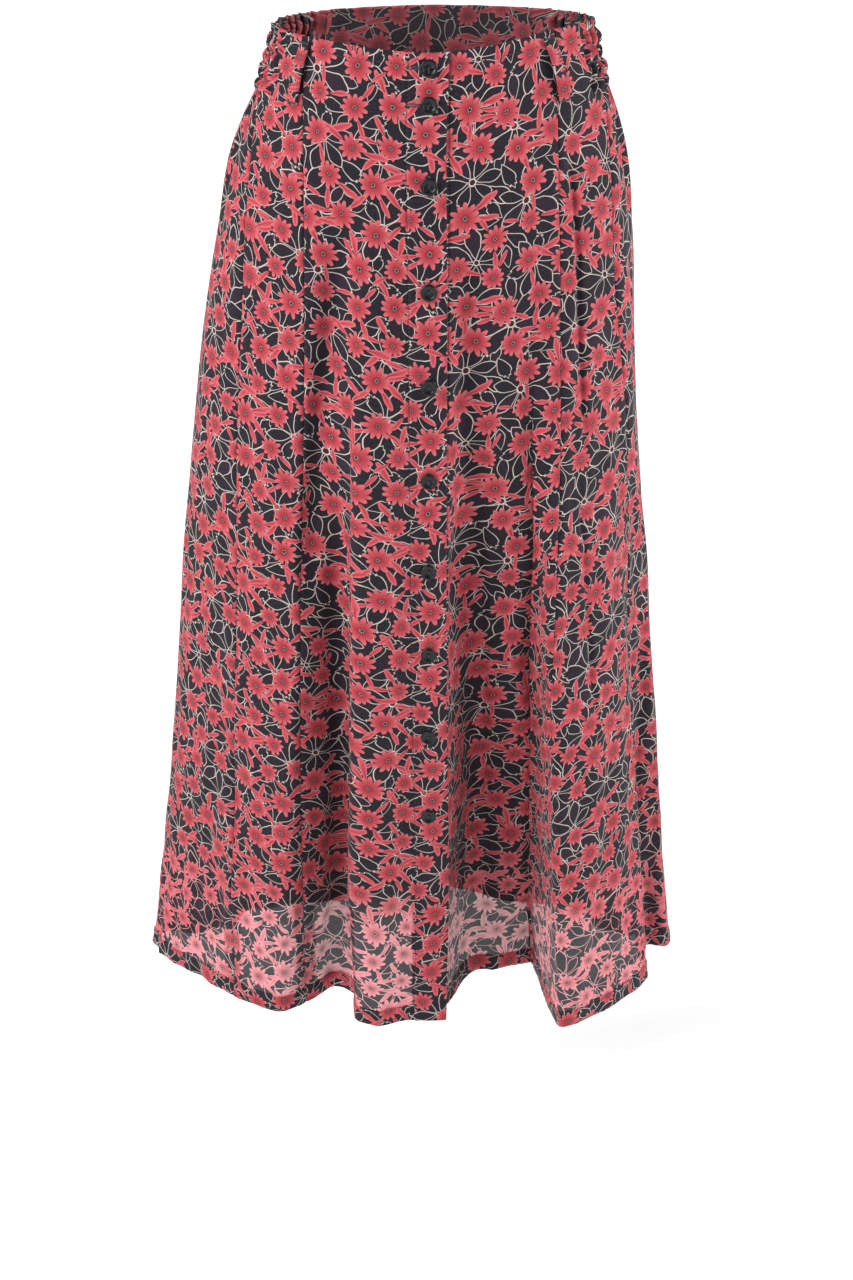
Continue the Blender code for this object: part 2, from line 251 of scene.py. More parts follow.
def speed(angle, down, under=False):
    """Metres of cloth round the body for each degree."""
    gap = skirt(angle + STEP_DEGREES, down, under) - skirt(angle - STEP_DEGREES, down, under)
    return np.linalg.norm(gap, axis=-1) / (2 * STEP_DEGREES)


def outward(angle, down, under=False):
    """The unit normal of the skirt, pointing away from the wearer."""
    round_it = skirt(angle + STEP_DEGREES, down, under) - skirt(angle - STEP_DEGREES, down, under)
    down_it = skirt(angle, down + STEP_DOWN, under) - skirt(angle, down - STEP_DOWN, under)
    normal = np.cross(down_it, round_it)
    return normal / np.linalg.norm(normal, axis=-1, keepdims=True)


def seam(column, down):
    """The angle of one of the front's seam lines or band edges at these distances down."""
    side = along(SEAMS, column, down)
    return np.degrees(np.arcsin(side / half_width(side, down)))


def back_seam(side, down):
    """The angle of a back seam: side is 1 for the left one and -1 for the right one."""
    wide = half_width(side, down)
    return 180 - np.degrees(np.arcsin(side * along(SEAMS, 7, down) / wide))


# The panels' creases, where the cloth hangs, was folded or pulls; the low uneven waves between them;
# and, at the sides, the puffs into which rows of elastic thread draw it up.
CREASES = (
    # angle and distance down of the middle, length, width, depth (out is positive), tilt, bow
    # long ones beside the buttons, as the two fronts hang
    (-26.5, 0.280, 0.380, 0.0120, -0.0100, -3, 0.00),
    (-21.5, 0.590, 0.700, 0.0115, -0.0110, 0, 0.00),
    (-15.0, 0.520, 0.760, 0.0300, 0.0085, 0, 0.00),
    (10.0, 0.290, 0.380, 0.0120, -0.0085, -1, 0.00),
    (8.5, 0.620, 0.600, 0.0200, -0.0095, 0, 0.00),
    (24.5, 0.540, 0.620, 0.0200, 0.0110, 0, 0.00),
    # sharp ones down the left front
    (45.0, 0.200, 0.300, 0.0026, -0.0034, 1, 0.00),
    (43.8, 0.450, 0.260, 0.0026, -0.0030, 1, 0.00),
    # short ones above the hem, at the front and then at the back
    (-28.5, 0.762, 0.070, 0.0045, -0.0022, -20, 0.00),
    (-24.5, 0.745, 0.080, 0.0050, 0.0022, -16, 0.00),
    (-33.0, 0.775, 0.060, 0.0045, 0.0018, 24, 0.00),
    (38.0, 0.775, 0.110, 0.0040, -0.0028, 24, 0.03),
    (34.5, 0.790, 0.100, 0.0055, 0.0022, 26, 0.03),
    (-38.0, 0.800, 0.090, 0.0060, -0.0018, -12, 0.00),
    (62.0, 0.790, 0.090, 0.0060, -0.0020, 14, 0.00),
    (156.0, 0.780, 0.100, 0.0060, -0.0022, -18, 0.00),
    (204.0, 0.785, 0.090, 0.0055, 0.0022, 20, 0.00),
    # wide ones low on the back
    (178.0, 0.640, 0.340, 0.0130, -0.0045, 1, 0.00),
    (216.0, 0.660, 0.320, 0.0120, -0.0045, -2, 0.00),
    (142.0, 0.640, 0.340, 0.0120, 0.0035, 2, 0.00),
    # faint ones all round
    (-60, 0.700, 0.150, 0.0050, -0.0012, 12, 0.00),
    (-44, 0.480, 0.260, 0.0080, 0.0014, -3, 0.02),
    (-34, 0.400, 0.300, 0.0070, -0.0010, 2, 0.00),
    (-20, 0.520, 0.300, 0.0085, 0.0012, 4, 0.00),
    (-11, 0.300, 0.220, 0.0060, -0.0008, -3, 0.00),
    (14, 0.250, 0.200, 0.0070, 0.0010, 5, 0.00),
    (24, 0.420, 0.280, 0.0080, -0.0012, 3, 0.00),
    (38, 0.330, 0.240, 0.0075, 0.0010, -4, 0.00),
    (56, 0.560, 0.320, 0.0080, -0.0012, 2, 0.00),
    (70, 0.250, 0.240, 0.0080, 0.0012, 3, 0.00),
    (84, 0.520, 0.280, 0.0090, 0.0014, -2, 0.00),
    (-72, 0.300, 0.260, 0.0080, 0.0012, 4, 0.00),
    (-84, 0.560, 0.300, 0.0090, -0.0013, -3, 0.00),
    (110, 0.420, 0.300, 0.0090, 0.0012, 2, 0.00),
    (148, 0.360, 0.320, 0.0090, -0.0012, -2, 0.00),
    (170, 0.520, 0.340, 0.0090, 0.0012, 2, 0.00),
    (190, 0.450, 0.300, 0.0080, -0.0010, -3, 0.00),
    (214, 0.380, 0.300, 0.0090, 0.0013, 3, 0.00),
    (236, 0.600, 0.260, 0.0080, 0.0013, -3, 0.00),
    (254, 0.480, 0.300, 0.0085, -0.0012, 2, 0.00),
)
WAVES = 34
WAVE_SEED = 5
WAVE_DEPTH = 0.0003
WAVE_GROWTH = 0.0009  # and the waves are this much deeper at the hem
PUFF_FROM = 62.0
PUFF_TO = 134.0
PUFF_EASE = 4.0
PUFF_TURN = 4.83  # one pleat in this many degrees
PUFF_TOP = 0.0065
PUFF_PITCH = 0.0105
PUFF_ROWS = 4.4
PUFF_DEPTH = 0.0034
FRILL_DEPTH = 0.0022
HELD_WIDE = 0.0120  # the buttons hold the front flat this far to either side
HELD_EASE = 0.06
RUN_ANGLES = np.linspace(-180, 360, 1081)  # from the centre back, far enough for every panel


def unevenness(angle, down):
    """Low random waves: a sum of cosines, each with a whole number of waves round the body."""
    rng = np.random.default_rng(WAVE_SEED)
    total = np.zeros(np.broadcast(angle, down).shape)
    for _ in range(WAVES):
        round_it = int(rng.integers(5, 46))
        down_it = rng.uniform(-7.0, 7.0)
        start = rng.uniform(0, 2 * math.pi)
        wave = np.cos(np.radians(angle) * round_it + 2 * math.pi * down_it * down + start)
        total += wave / math.sqrt(WAVES)
    return total


def puffs(angle, down):
    """The cloth between rows of elastic thread stands out in puffs, staggered from row to row.

    Round the body it is a wave of pleats; down it, a row's puff is a hump between two threads.
    """
    round_it = np.abs(wrap(angle))
    ends = smooth((round_it - PUFF_FROM) / PUFF_EASE) * smooth((PUFF_TO - round_it) / PUFF_EASE)
    row = (down - PUFF_TOP) / PUFF_PITCH
    shown = smooth((row + 0.3) / 0.3) * smooth((PUFF_ROWS - row) / 0.9)
    between = np.abs(np.sin(math.pi * row)) ** 0.7
    stagger = math.pi * np.floor(np.clip(row, -1, 99))
    wander = 1.3 * np.sin(np.radians(angle) * 13) + 0.9 * np.sin(np.radians(angle) * 31 + 2)
    wave = np.cos(2 * math.pi * (round_it - SHIRR_FROM) / PUFF_TURN + stagger + wander)
    frill = FRILL_DEPTH * wave * smooth(1 - down / PUFF_TOP)
    pleat = PUFF_DEPTH * shown * (wave * (0.35 + 0.65 * between) + 0.25 * between - 0.3)
    return ends * (frill + pleat)


def cloth_runs(down):
    """Metres of cloth round the body from the centre back, at each of RUN_ANGLES, in rows."""
    step = speed(0.5 * (RUN_ANGLES[1:] + RUN_ANGLES[:-1])[None, :], down) * np.diff(RUN_ANGLES)
    return np.concatenate([np.zeros((len(down), 1)), np.cumsum(step, axis=1)], axis=1)


def run_to(angle, runs):
    """Metres of cloth round the body to these angles, with one row of angles for each row of runs."""
    return np.stack([np.interp(row, RUN_ANGLES, run) for row, run in zip(angle, runs)])


def fine_form(angle, down, runs):
    """How far the creases, waves and puffs stand out, on a grid whose rows go down.

    A crease is a bell curve across a line, faded at its ends. None shows where the buttons hold.
    """
    share = down / LENGTH
    rise = (WAVE_DEPTH + WAVE_GROWTH * share**1.5) * unevenness(angle, down)
    run = run_to(angle, runs)
    for at, middle, length, width, depth, tilt, bow in CREASES:
        nearest = at + 360 * round((angle.mean() - at) / 360)
        round_it = run - run_to(np.full((len(angle), 1), float(nearest)), runs)
        down_it = down - middle
        sine, cosine = math.sin(math.radians(tilt)), math.cos(math.radians(tilt))
        along_it = down_it * cosine + round_it * sine
        across = round_it * cosine - down_it * sine + bow * along_it**2 / length
        faded = smooth(2 * (1 - np.abs(along_it) / (0.5 * length)))
        rise = rise + depth * faded * np.exp(-((across / width) ** 2))
    across = (run - run_to(np.zeros((len(angle), 1)), runs)) / HELD_WIDE
    held = np.exp(-(across**2)) * (1 - smooth((down - LAST_BUTTON_DOWN) / HELD_EASE))
    return rise * (1 - held) + puffs(angle, down)


# The panels' print: coral daisies with buds lie over big flowers drawn in cream outline, on near-black.
# It repeats every 144 mm down the cloth, and each panel is cut from another part of the repeat.
REPEAT_WIDE = 0.216
REPEAT_HIGH = 0.144
DAISIES = 37
DAISY_APART = 0.0285
DAISY_RADIUS = 0.0118
BUDS = 84
BUD_LENGTH = 0.0165
BUD_WIDTH = 0.0047
RINGS = 13
RING_APART = 0.046
RING_PETALS = 6
RING_REACH = 0.0034
PETAL_START = 0.0026  # a drawn flower's petals start this far from its middle
LEAVES = 58
LEAF_LENGTH = 0.0240
LEAF_WIDTH = 0.0110
DAISY_ROOM = 0.0075  # how much room each motif takes when loose leaves are laid between them
LEAF_ROOM = 0.0035
RING_ROOM = 0.0020
PRINT_SEED = 11
FAR = 90.0  # where a motif lies that doesn't show


def spread(count, apart, rng):
    """Places in one repeat, pushed apart until few are nearer than apart, wrapping at its edges."""
    size = np.array([REPEAT_WIDE, REPEAT_HIGH])
    places = rng.uniform(0, 1, (count, 2)) * size
    for _ in range(120):
        gap = places[:, None] - places[None, :]
        gap = gap - np.round(gap / size) * size
        reach = np.linalg.norm(gap, axis=-1) + np.eye(count)
        push = np.clip(apart / reach - 1, 0, 0.5)
        places = (places + 0.3 * (gap * push[..., None]).sum(axis=1)) % size
    return places


def one_repeat():
    """The motifs of one repeat, as rows of across, down, turn, size and seed, the topmost first."""
    rng = np.random.default_rng(PRINT_SEED)
    daisy = spread(DAISIES, DAISY_APART, rng)
    ring = spread(RINGS, RING_APART, rng)

    def rows(places, turn, size):
        """These motifs as rows, each with a seed that is drawn last."""
        seed = rng.uniform(0, 1, len(places))
        return np.column_stack([places, turn, size, seed])

    daisies = rows(daisy, rng.uniform(-math.pi, math.pi, DAISIES), rng.uniform(0.80, 1.08, DAISIES))
    parent = np.arange(BUDS) % DAISIES
    turn = rng.uniform(-math.pi, math.pi, BUDS)
    size = rng.uniform(0.75, 1.25, BUDS)
    out = (0.74 * DAISY_RADIUS + 0.5 * BUD_LENGTH * size)[:, None]
    heading = np.column_stack([np.cos(turn), np.sin(turn)])
    buds = rows(daisy[parent] + out * heading, turn, size)
    rings = rows(ring, np.zeros(RINGS), rng.uniform(0.8, 1.2, RINGS))
    around = np.repeat(rng.uniform(-math.pi, math.pi, RINGS), RING_PETALS)
    around = around + np.tile(np.arange(RING_PETALS) * 2 * math.pi / RING_PETALS, RINGS)
    around = around + rng.uniform(-0.2, 0.2, len(around))
    size = rng.uniform(0.74, 1.20, len(around))
    out = (PETAL_START + 0.5 * LEAF_LENGTH * size)[:, None]
    heading = np.column_stack([np.cos(around), np.sin(around)])
    petals = rows(np.repeat(ring, RING_PETALS, axis=0) + out * heading, around, size)
    petals = rng.permutation(petals)
    # Loose leaves, one after another, each where the repeat is still barest
    box = np.array([REPEAT_WIDE, REPEAT_HIGH])
    spots = np.stack(np.meshgrid(np.linspace(0, 1, 61)[:-1], np.linspace(0, 1, 41)[:-1]), axis=-1)
    spots = spots.reshape(-1, 2) * box
    taken = np.concatenate([daisy, petals[:, :2], ring])
    room = np.repeat([DAISY_ROOM, LEAF_ROOM, RING_ROOM], [DAISIES, len(petals), RINGS])
    for _ in range(LEAVES):
        gap = spots[:, None] - taken[None, :]
        gap = gap - np.round(gap / box) * box
        bare = (np.linalg.norm(gap, axis=-1) - room).min(axis=1)
        taken = np.concatenate([taken, spots[[bare.argmax()]]])
        room = np.append(room, LEAF_ROOM)
    loose = taken[-LEAVES:] % box
    loose = rows(loose, rng.uniform(-math.pi, math.pi, LEAVES), rng.uniform(0.62, 1.0, LEAVES))
    return {"daisy": daisies, "bud": buds, "ring": rings, "leaf": np.concatenate([petals, loose])}


REPEAT = one_repeat()
# How far each motif reaches from its middle along and across it, in metres at size 1, and how many
# of them one face of the cloth can hold.
REACH = {
    "daisy": (1.10 * DAISY_RADIUS, 1.10 * DAISY_RADIUS, 2),
    "bud": (0.5 * BUD_LENGTH, 0.5 * BUD_WIDTH, 3),
    "ring": (RING_REACH, RING_REACH, 1),
    "leaf": (0.5 * LEAF_LENGTH, 0.5 * LEAF_WIDTH, 4),
}
DRAWN_SLACK = 0.0012  # the drawn line wanders this far


def lens(along, across, half_length, half_width):
    """How far inside a pointed oval a place is: the nearer edge of two arcs that meet at its tips."""
    radius = (half_length**2 + half_width**2) / (2 * half_width)
    return radius - np.hypot(along, np.abs(across) + radius - half_width)


def motifs_on(flat, cells, kind, offset):
    """For each face, the motifs of a kind that it shows, as values at its corners.

    flat holds the place of each point on the cut, and cells the points of each face. Each motif is
    given as (along, across, seed) in millimetres in its own frame, or far away where there is none.
    """
    along_reach, across_reach, count = REACH[kind]
    rows = REPEAT[kind]
    spots = flat[cells] + offset
    middle = spots.mean(axis=1)
    radius = np.linalg.norm(spots - middle[:, None], axis=-1).max(axis=1) + DRAWN_SLACK
    first = np.floor(spots.min(axis=(0, 1)) / (REPEAT_WIDE, REPEAT_HIGH)).astype(int) - 1
    last = np.floor(spots.max(axis=(0, 1)) / (REPEAT_WIDE, REPEAT_HIGH)).astype(int) + 1
    used = np.zeros(len(cells), int)
    covered = np.zeros(len(cells), bool)
    chosen = np.full((len(cells), count), -1)
    images = []
    for row in rows:
        for shift_x in range(first[0], last[0] + 1):
            for shift_y in range(first[1], last[1] + 1):
                moved = row.copy()
                moved[:2] += (shift_x * REPEAT_WIDE, shift_y * REPEAT_HIGH)
                images.append(moved)
    images = np.array(images)
    low, high = middle.min(axis=0), middle.max(axis=0)
    reach = 1.3 * along_reach + radius.max()
    near = ((images[:, :2] > low - reach) & (images[:, :2] < high + reach)).all(axis=1)
    images = np.concatenate([images[near], [(FAR, FAR, 0.0, 1.0, 0.0)]])
    for number, (x, y, turn, size, _) in enumerate(images[:-1]):
        close = np.abs(middle[:, 0] - x) < along_reach * size + radius
        close &= np.abs(middle[:, 1] - y) < along_reach * size + radius
        close &= ~covered
        picked = np.nonzero(close)[0]
        if not len(picked):
            continue
        gap = middle[picked] - (x, y)
        along = gap[:, 0] * math.cos(turn) + gap[:, 1] * math.sin(turn)
        across = gap[:, 1] * math.cos(turn) - gap[:, 0] * math.sin(turn)
        if kind in ("leaf", "bud"):
            inside = lens(along, across, along_reach * size, across_reach * size)
        else:
            inside = along_reach * size - np.hypot(along, across)
        shown = (inside > -radius[picked]) & (used[picked] < count)
        picked, inside = picked[shown], inside[shown]
        chosen[picked, used[picked]] = number
        used[picked] += 1
        if kind == "leaf":
            covered[picked[inside > radius[picked]]] = True
    values = []
    for slot in range(count):
        motif = images[chosen[:, slot]]
        gap = spots - motif[:, None, :2]
        turn, size = motif[:, None, 2], motif[:, None, 3]
        along = (gap[..., 0] * np.cos(turn) + gap[..., 1] * np.sin(turn)) / size * 1000
        across = (gap[..., 1] * np.cos(turn) - gap[..., 0] * np.sin(turn)) / size * 1000
        seed = np.broadcast_to(motif[:, None, 4], along.shape)
        value = np.stack([along, across, seed], axis=-1)
        value[chosen[:, slot] < 0] = (FAR, FAR, 0.0)
        values.append(value)
    return values


# The print's inks: a coral, a deep red and a pale one for the daisies, cream for the drawn lines and a
# near-black ground. The ink lies in the cloth, so it follows the cut and not the folds.
CUT_MAP = "Cut"


def step_node(tree, operation, *values):
    """The output of one Math node. A value is another node's output or a number."""
    node = tree.nodes.new("ShaderNodeMath")
    node.operation = operation
    for socket, value in zip(node.inputs, values):
        if isinstance(value, bpy.types.NodeSocket):
            tree.links.new(value, socket)
        else:
            socket.default_value = value
    return node.outputs[0]


def ramp_node(tree, value, low, high, start=0.0, end=1.0):
    """A smooth step: start where value is low or less, end where it is high or more."""
    node = tree.nodes.new("ShaderNodeMapRange")
    node.interpolation_type = "SMOOTHSTEP"
    tree.links.new(value, node.inputs["Value"])
    node.inputs["From Min"].default_value = low
    node.inputs["From Max"].default_value = high
    node.inputs["To Min"].default_value = start
    node.inputs["To Max"].default_value = end
    return node.outputs["Result"]


def mix_node(tree, share, first, second):
    """first where share is 0 and second where it is 1. Each is a colour or an output."""
    node = tree.nodes.new("ShaderNodeMix")
    node.data_type = "RGBA"
    for socket, value in ((node.inputs[0], share), (node.inputs[6], first), (node.inputs[7], second)):
        if isinstance(value, bpy.types.NodeSocket):
            tree.links.new(value, socket)
        else:
            socket.default_value = value
    return node.outputs[2]


def paint(red, green, blue):
    """A colour as it looks on a screen, out of 255, as the light that it gives back."""
    shown = np.array([red, green, blue]) / 255
    light = np.where(shown > 0.04045, ((shown + 0.055) / 1.055) ** 2.4, shown / 12.92)
    return (*light.tolist(), 1.0)


CORAL = paint(160, 58, 66)
CORAL_PALE = paint(180, 88, 94)
CORAL_DEEP = paint(122, 22, 34)
CREAM = paint(176, 163, 156)
GROUND = paint(23, 20, 28)
GROUND_PLUM = paint(32, 22, 34)
SEED_MAROON = paint(52, 20, 28)
SEED_GREY = paint(150, 142, 132)
INK_EDGE = 0.20  # a coral motif's edge is this soft to either side, in millimetres


def motif_group(name, outputs):
    """An empty node group that takes a place in a motif's own frame, and gives these outputs."""
    tree = bpy.data.node_groups.new(name, "ShaderNodeTree")
    tree.interface.new_socket("Place", in_out="INPUT", socket_type="NodeSocketVector")
    for label, kind in outputs:
        tree.interface.new_socket(label, in_out="OUTPUT", socket_type=kind)
    start = tree.nodes.new("NodeGroupInput")
    end = tree.nodes.new("NodeGroupOutput")
    apart = tree.nodes.new("ShaderNodeSeparateXYZ")
    tree.links.new(start.outputs["Place"], apart.inputs[0])
    return tree, apart.outputs[0], apart.outputs[1], apart.outputs[2], end


def reach_node(tree, along, across):
    """How far a place is from the middle: the root of the sum of both squares."""
    square = step_node(tree, "MULTIPLY", across, across)
    return step_node(tree, "SQRT", step_node(tree, "MULTIPLY_ADD", along, along, square))


def lens_nodes(tree, along, across, half_length, half_width):
    """lens() as nodes: how far inside a pointed oval a place is."""
    radius = (half_length**2 + half_width**2) / (2 * half_width)
    lifted = step_node(tree, "ADD", step_node(tree, "ABSOLUTE", across), radius - half_width)
    return step_node(tree, "SUBTRACT", radius, reach_node(tree, along, lifted))


def away_node(tree, value, place):
    """How far a value is from a place, to either side."""
    return step_node(tree, "ABSOLUTE", step_node(tree, "SUBTRACT", value, place))


def daisy_group():
    """A daisy of eleven uneven petals: deep red streaks run out from a dotted grey eye."""
    outputs = (("Inside", "NodeSocketFloat"), ("Colour", "NodeSocketColor"))
    tree, x, y, seed, end = motif_group("daisy", outputs)
    petals = 11
    radius = DAISY_RADIUS * 1000
    reach = reach_node(tree, x, y)
    turn = step_node(tree, "ARCTAN2", y, x)
    # Which petal this is, its own chance, and the place in that petal's frame
    share = step_node(tree, "MULTIPLY_ADD", turn, petals / (2 * math.pi), 0.5 * petals)
    petal = step_node(tree, "FLOOR", share)
    whole = step_node(tree, "ROUND", step_node(tree, "MULTIPLY", seed, 5000.0))
    around = step_node(tree, "MODULO", petal, float(petals))
    number = step_node(tree, "MULTIPLY_ADD", whole, 20.0, around)
    chance = tree.nodes.new("ShaderNodeTexWhiteNoise")
    chance.noise_dimensions = "1D"
    tree.links.new(number, chance.inputs["W"])
    luck = chance.outputs["Value"]
    off = step_node(tree, "SUBTRACT", step_node(tree, "SUBTRACT", share, petal), 0.5)
    lean = step_node(tree, "MULTIPLY_ADD", step_node(tree, "SUBTRACT", luck, 0.5), 0.16, off)
    angle = step_node(tree, "MULTIPLY", lean, 2 * math.pi / petals)
    along = step_node(tree, "MULTIPLY", reach, step_node(tree, "COSINE", angle))
    across = step_node(tree, "MULTIPLY", reach, step_node(tree, "SINE", angle))
    # A petal is a pointed oval with a blunt end, and all of them meet in a round body
    length = step_node(tree, "MULTIPLY_ADD", luck, 0.26 * radius, 0.78 * radius)
    stretch = step_node(tree, "DIVIDE", along, length)
    centred = step_node(tree, "MULTIPLY", step_node(tree, "SUBTRACT", stretch, 0.54), radius)
    inside = lens_nodes(tree, centred, across, 0.60 * radius, 0.170 * radius)
    blunt = step_node(tree, "MULTIPLY", step_node(tree, "SUBTRACT", 1.01, stretch), 0.66 * radius)
    inside = step_node(tree, "MINIMUM", inside, blunt)
    body = step_node(tree, "SUBTRACT", 0.50 * radius, reach)
    inside = step_node(tree, "MAXIMUM", inside, body)
    tree.links.new(ramp_node(tree, inside, -INK_EDGE, INK_EDGE), end.inputs["Inside"])
    # Deep red runs down each petal's middle, round the eye and between the petals
    streak = ramp_node(tree, step_node(tree, "ABSOLUTE", across), 0.08 * radius, 0.0)
    faded = ramp_node(tree, stretch, 0.85, 0.25)
    streak = step_node(tree, "MULTIPLY", streak, faded)
    colour = mix_node(tree, ramp_node(tree, stretch, 0.45, 1.0), CORAL, CORAL_PALE)
    colour = mix_node(tree, step_node(tree, "MULTIPLY", streak, 0.5), colour, CORAL_DEEP)
    colour = mix_node(tree, ramp_node(tree, reach, 4.8, 1.2, 0.0, 0.9), colour, CORAL_DEEP)
    parted = ramp_node(tree, step_node(tree, "ABSOLUTE", off), 0.34, 0.5)
    parted = step_node(tree, "MULTIPLY", parted, ramp_node(tree, reach, 9.5, 4.0, 0.0, 0.8))
    colour = mix_node(tree, parted, colour, CORAL_DEEP)
    # The eye is a ring of seven grey dots on a dark middle
    spots = step_node(tree, "SINE", step_node(tree, "MULTIPLY", turn, 7.0))
    ring = ramp_node(tree, away_node(tree, reach, 1.25), 0.50, 0.22)
    eye = step_node(tree, "MULTIPLY", ring, ramp_node(tree, spots, -0.3, 0.5))
    colour = mix_node(tree, ramp_node(tree, reach, 1.95, 1.60), colour, GROUND)
    colour = mix_node(tree, eye, colour, SEED_GREY)
    tree.links.new(colour, end.inputs["Colour"])
    return tree


def bud_group():
    """A long bud: a blunt oval, pale along its edges and deep red towards its daisy."""
    outputs = (("Inside", "NodeSocketFloat"), ("Colour", "NodeSocketColor"))
    tree, x, y, _, end = motif_group("bud", outputs)
    half_length, half_width = 500 * BUD_LENGTH, 500 * BUD_WIDTH
    slimmer = ramp_node(tree, x, -half_length, 0.3 * half_length, 1.35, 1.0)
    slim = step_node(tree, "MULTIPLY", y, slimmer)
    inside = lens_nodes(tree, x, slim, 1.25 * half_length, half_width)
    blunt = step_node(tree, "SUBTRACT", half_length, step_node(tree, "ABSOLUTE", x))
    inside = step_node(tree, "MINIMUM", inside, step_node(tree, "MULTIPLY", blunt, 0.9))
    tree.links.new(ramp_node(tree, inside, -INK_EDGE, INK_EDGE), end.inputs["Inside"])
    colour = mix_node(tree, ramp_node(tree, inside, 1.5, 0.3), CORAL, CORAL_PALE)
    streak = ramp_node(tree, step_node(tree, "ABSOLUTE", y), 0.8, 0.1)
    toward = ramp_node(tree, x, 0.5 * half_length, -half_length, 0.0, 0.9)
    streak = step_node(tree, "MULTIPLY", streak, toward)
    tree.links.new(mix_node(tree, streak, colour, CORAL_DEEP), end.inputs["Colour"])
    return tree


def leaf_group():
    """A petal drawn in outline. Some end in a zigzag, and some are tinted plum inside."""
    outputs = (("Inside", "NodeSocketFloat"), ("Line", "NodeSocketFloat"), ("Tint", "NodeSocketFloat"))
    tree, x, y, seed, end = motif_group("drawn_petal", outputs)
    half_length, half_width = 500 * LEAF_LENGTH, 500 * LEAF_WIDTH
    wider = ramp_node(tree, x, -half_length, 0.5 * half_length, 1.45, 0.92)
    wide = step_node(tree, "MULTIPLY", y, wider)
    inside = lens_nodes(tree, x, wide, half_length, half_width)
    wave = step_node(tree, "PINGPONG", step_node(tree, "MULTIPLY_ADD", seed, 7.0, y), 1.5)
    tip = ramp_node(tree, x, 0.35 * half_length, 0.6 * half_length)
    notched = step_node(tree, "MULTIPLY", tip, 1.1)
    notched = step_node(tree, "MULTIPLY", notched, step_node(tree, "GREATER_THAN", seed, 0.55))
    inside = step_node(tree, "SUBTRACT", inside, step_node(tree, "MULTIPLY", wave, notched))
    tree.links.new(ramp_node(tree, inside, -0.40, -0.24), end.inputs["Inside"])
    line = ramp_node(tree, step_node(tree, "ABSOLUTE", inside), 0.46, 0.26)
    tree.links.new(line, end.inputs["Line"])
    plum = step_node(tree, "COMPARE", seed, 0.25, 0.12)
    tree.links.new(plum, end.inputs["Tint"])
    return tree


def ring_group():
    """The small round middle of a drawn flower: maroon, with a cream outline."""
    outputs = (("Inside", "NodeSocketFloat"), ("Line", "NodeSocketFloat"))
    tree, x, y, _, end = motif_group("drawn_middle", outputs)
    reach = reach_node(tree, x, y)
    tree.links.new(ramp_node(tree, reach, 3.0, 2.7), end.inputs["Inside"])
    line = ramp_node(tree, away_node(tree, reach, 2.55), 0.56, 0.36)
    tree.links.new(line, end.inputs["Line"])
    return tree


WANDERS = 95.0  # waves of the drawn lines in a metre, and how far they go, in millimetres
WANDER = 2.6
GROUPS = {"daisy": daisy_group(), "bud": bud_group(), "leaf": leaf_group(), "ring": ring_group()}


def printed_colour(tree):
    """The print's colour: ground, drawn petals from the lowest up, drawn middles, buds, daisies.

    Noise moves the place where each motif is read, so that its lines look drawn by hand.
    """
    wander = tree.nodes.new("ShaderNodeTexNoise")
    cut = tree.nodes.new("ShaderNodeUVMap")
    cut.uv_map = CUT_MAP
    tree.links.new(cut.outputs["UV"], wander.inputs["Vector"])
    wander.inputs["Scale"].default_value = WANDERS
    wander.inputs["Detail"].default_value = 1.0
    drawn = tree.nodes.new("ShaderNodeVectorMath")
    drawn.operation = "SUBTRACT"
    tree.links.new(wander.outputs["Color"], drawn.inputs[0])
    drawn.inputs[1].default_value = (0.5, 0.5, 0.5)
    shifted = tree.nodes.new("ShaderNodeVectorMath")
    shifted.operation = "MULTIPLY"
    tree.links.new(drawn.outputs[0], shifted.inputs[0])
    shifted.inputs[1].default_value = (WANDER, WANDER, 0.0)

    def motif(kind, slot):
        """One motif's group, reading its place on this face from the piece's own attribute."""
        place = tree.nodes.new("ShaderNodeAttribute")
        place.attribute_name = f"{kind}_{slot}"
        moved = tree.nodes.new("ShaderNodeVectorMath")
        tree.links.new(place.outputs["Vector"], moved.inputs[0])
        tree.links.new(shifted.outputs[0], moved.inputs[1])
        node = tree.nodes.new("ShaderNodeGroup")
        node.node_tree = GROUPS[kind]
        tree.links.new(moved.outputs[0], node.inputs["Place"])
        return node.outputs

    colour = GROUND
    for slot in reversed(range(REACH["leaf"][2])):
        leaf = motif("leaf", slot)
        fill = mix_node(tree, leaf["Tint"], GROUND, GROUND_PLUM)
        colour = mix_node(tree, leaf["Inside"], colour, fill)
        colour = mix_node(tree, leaf["Line"], colour, CREAM)
    ring = motif("ring", 0)
    colour = mix_node(tree, ring["Inside"], colour, SEED_MAROON)
    colour = mix_node(tree, ring["Line"], colour, CREAM)
    for kind in ("bud", "daisy"):
        for slot in reversed(range(REACH[kind][2])):
            shape = motif(kind, slot)
            colour = mix_node(tree, shape["Inside"], colour, shape["Colour"])
    return colour


PRINT = bpy.data.node_groups.new("viscose_print", "ShaderNodeTree")
PRINT.interface.new_socket("Colour", in_out="OUTPUT", socket_type="NodeSocketColor")
PRINT.links.new(printed_colour(PRINT), PRINT.nodes.new("NodeGroupOutput").inputs["Colour"])


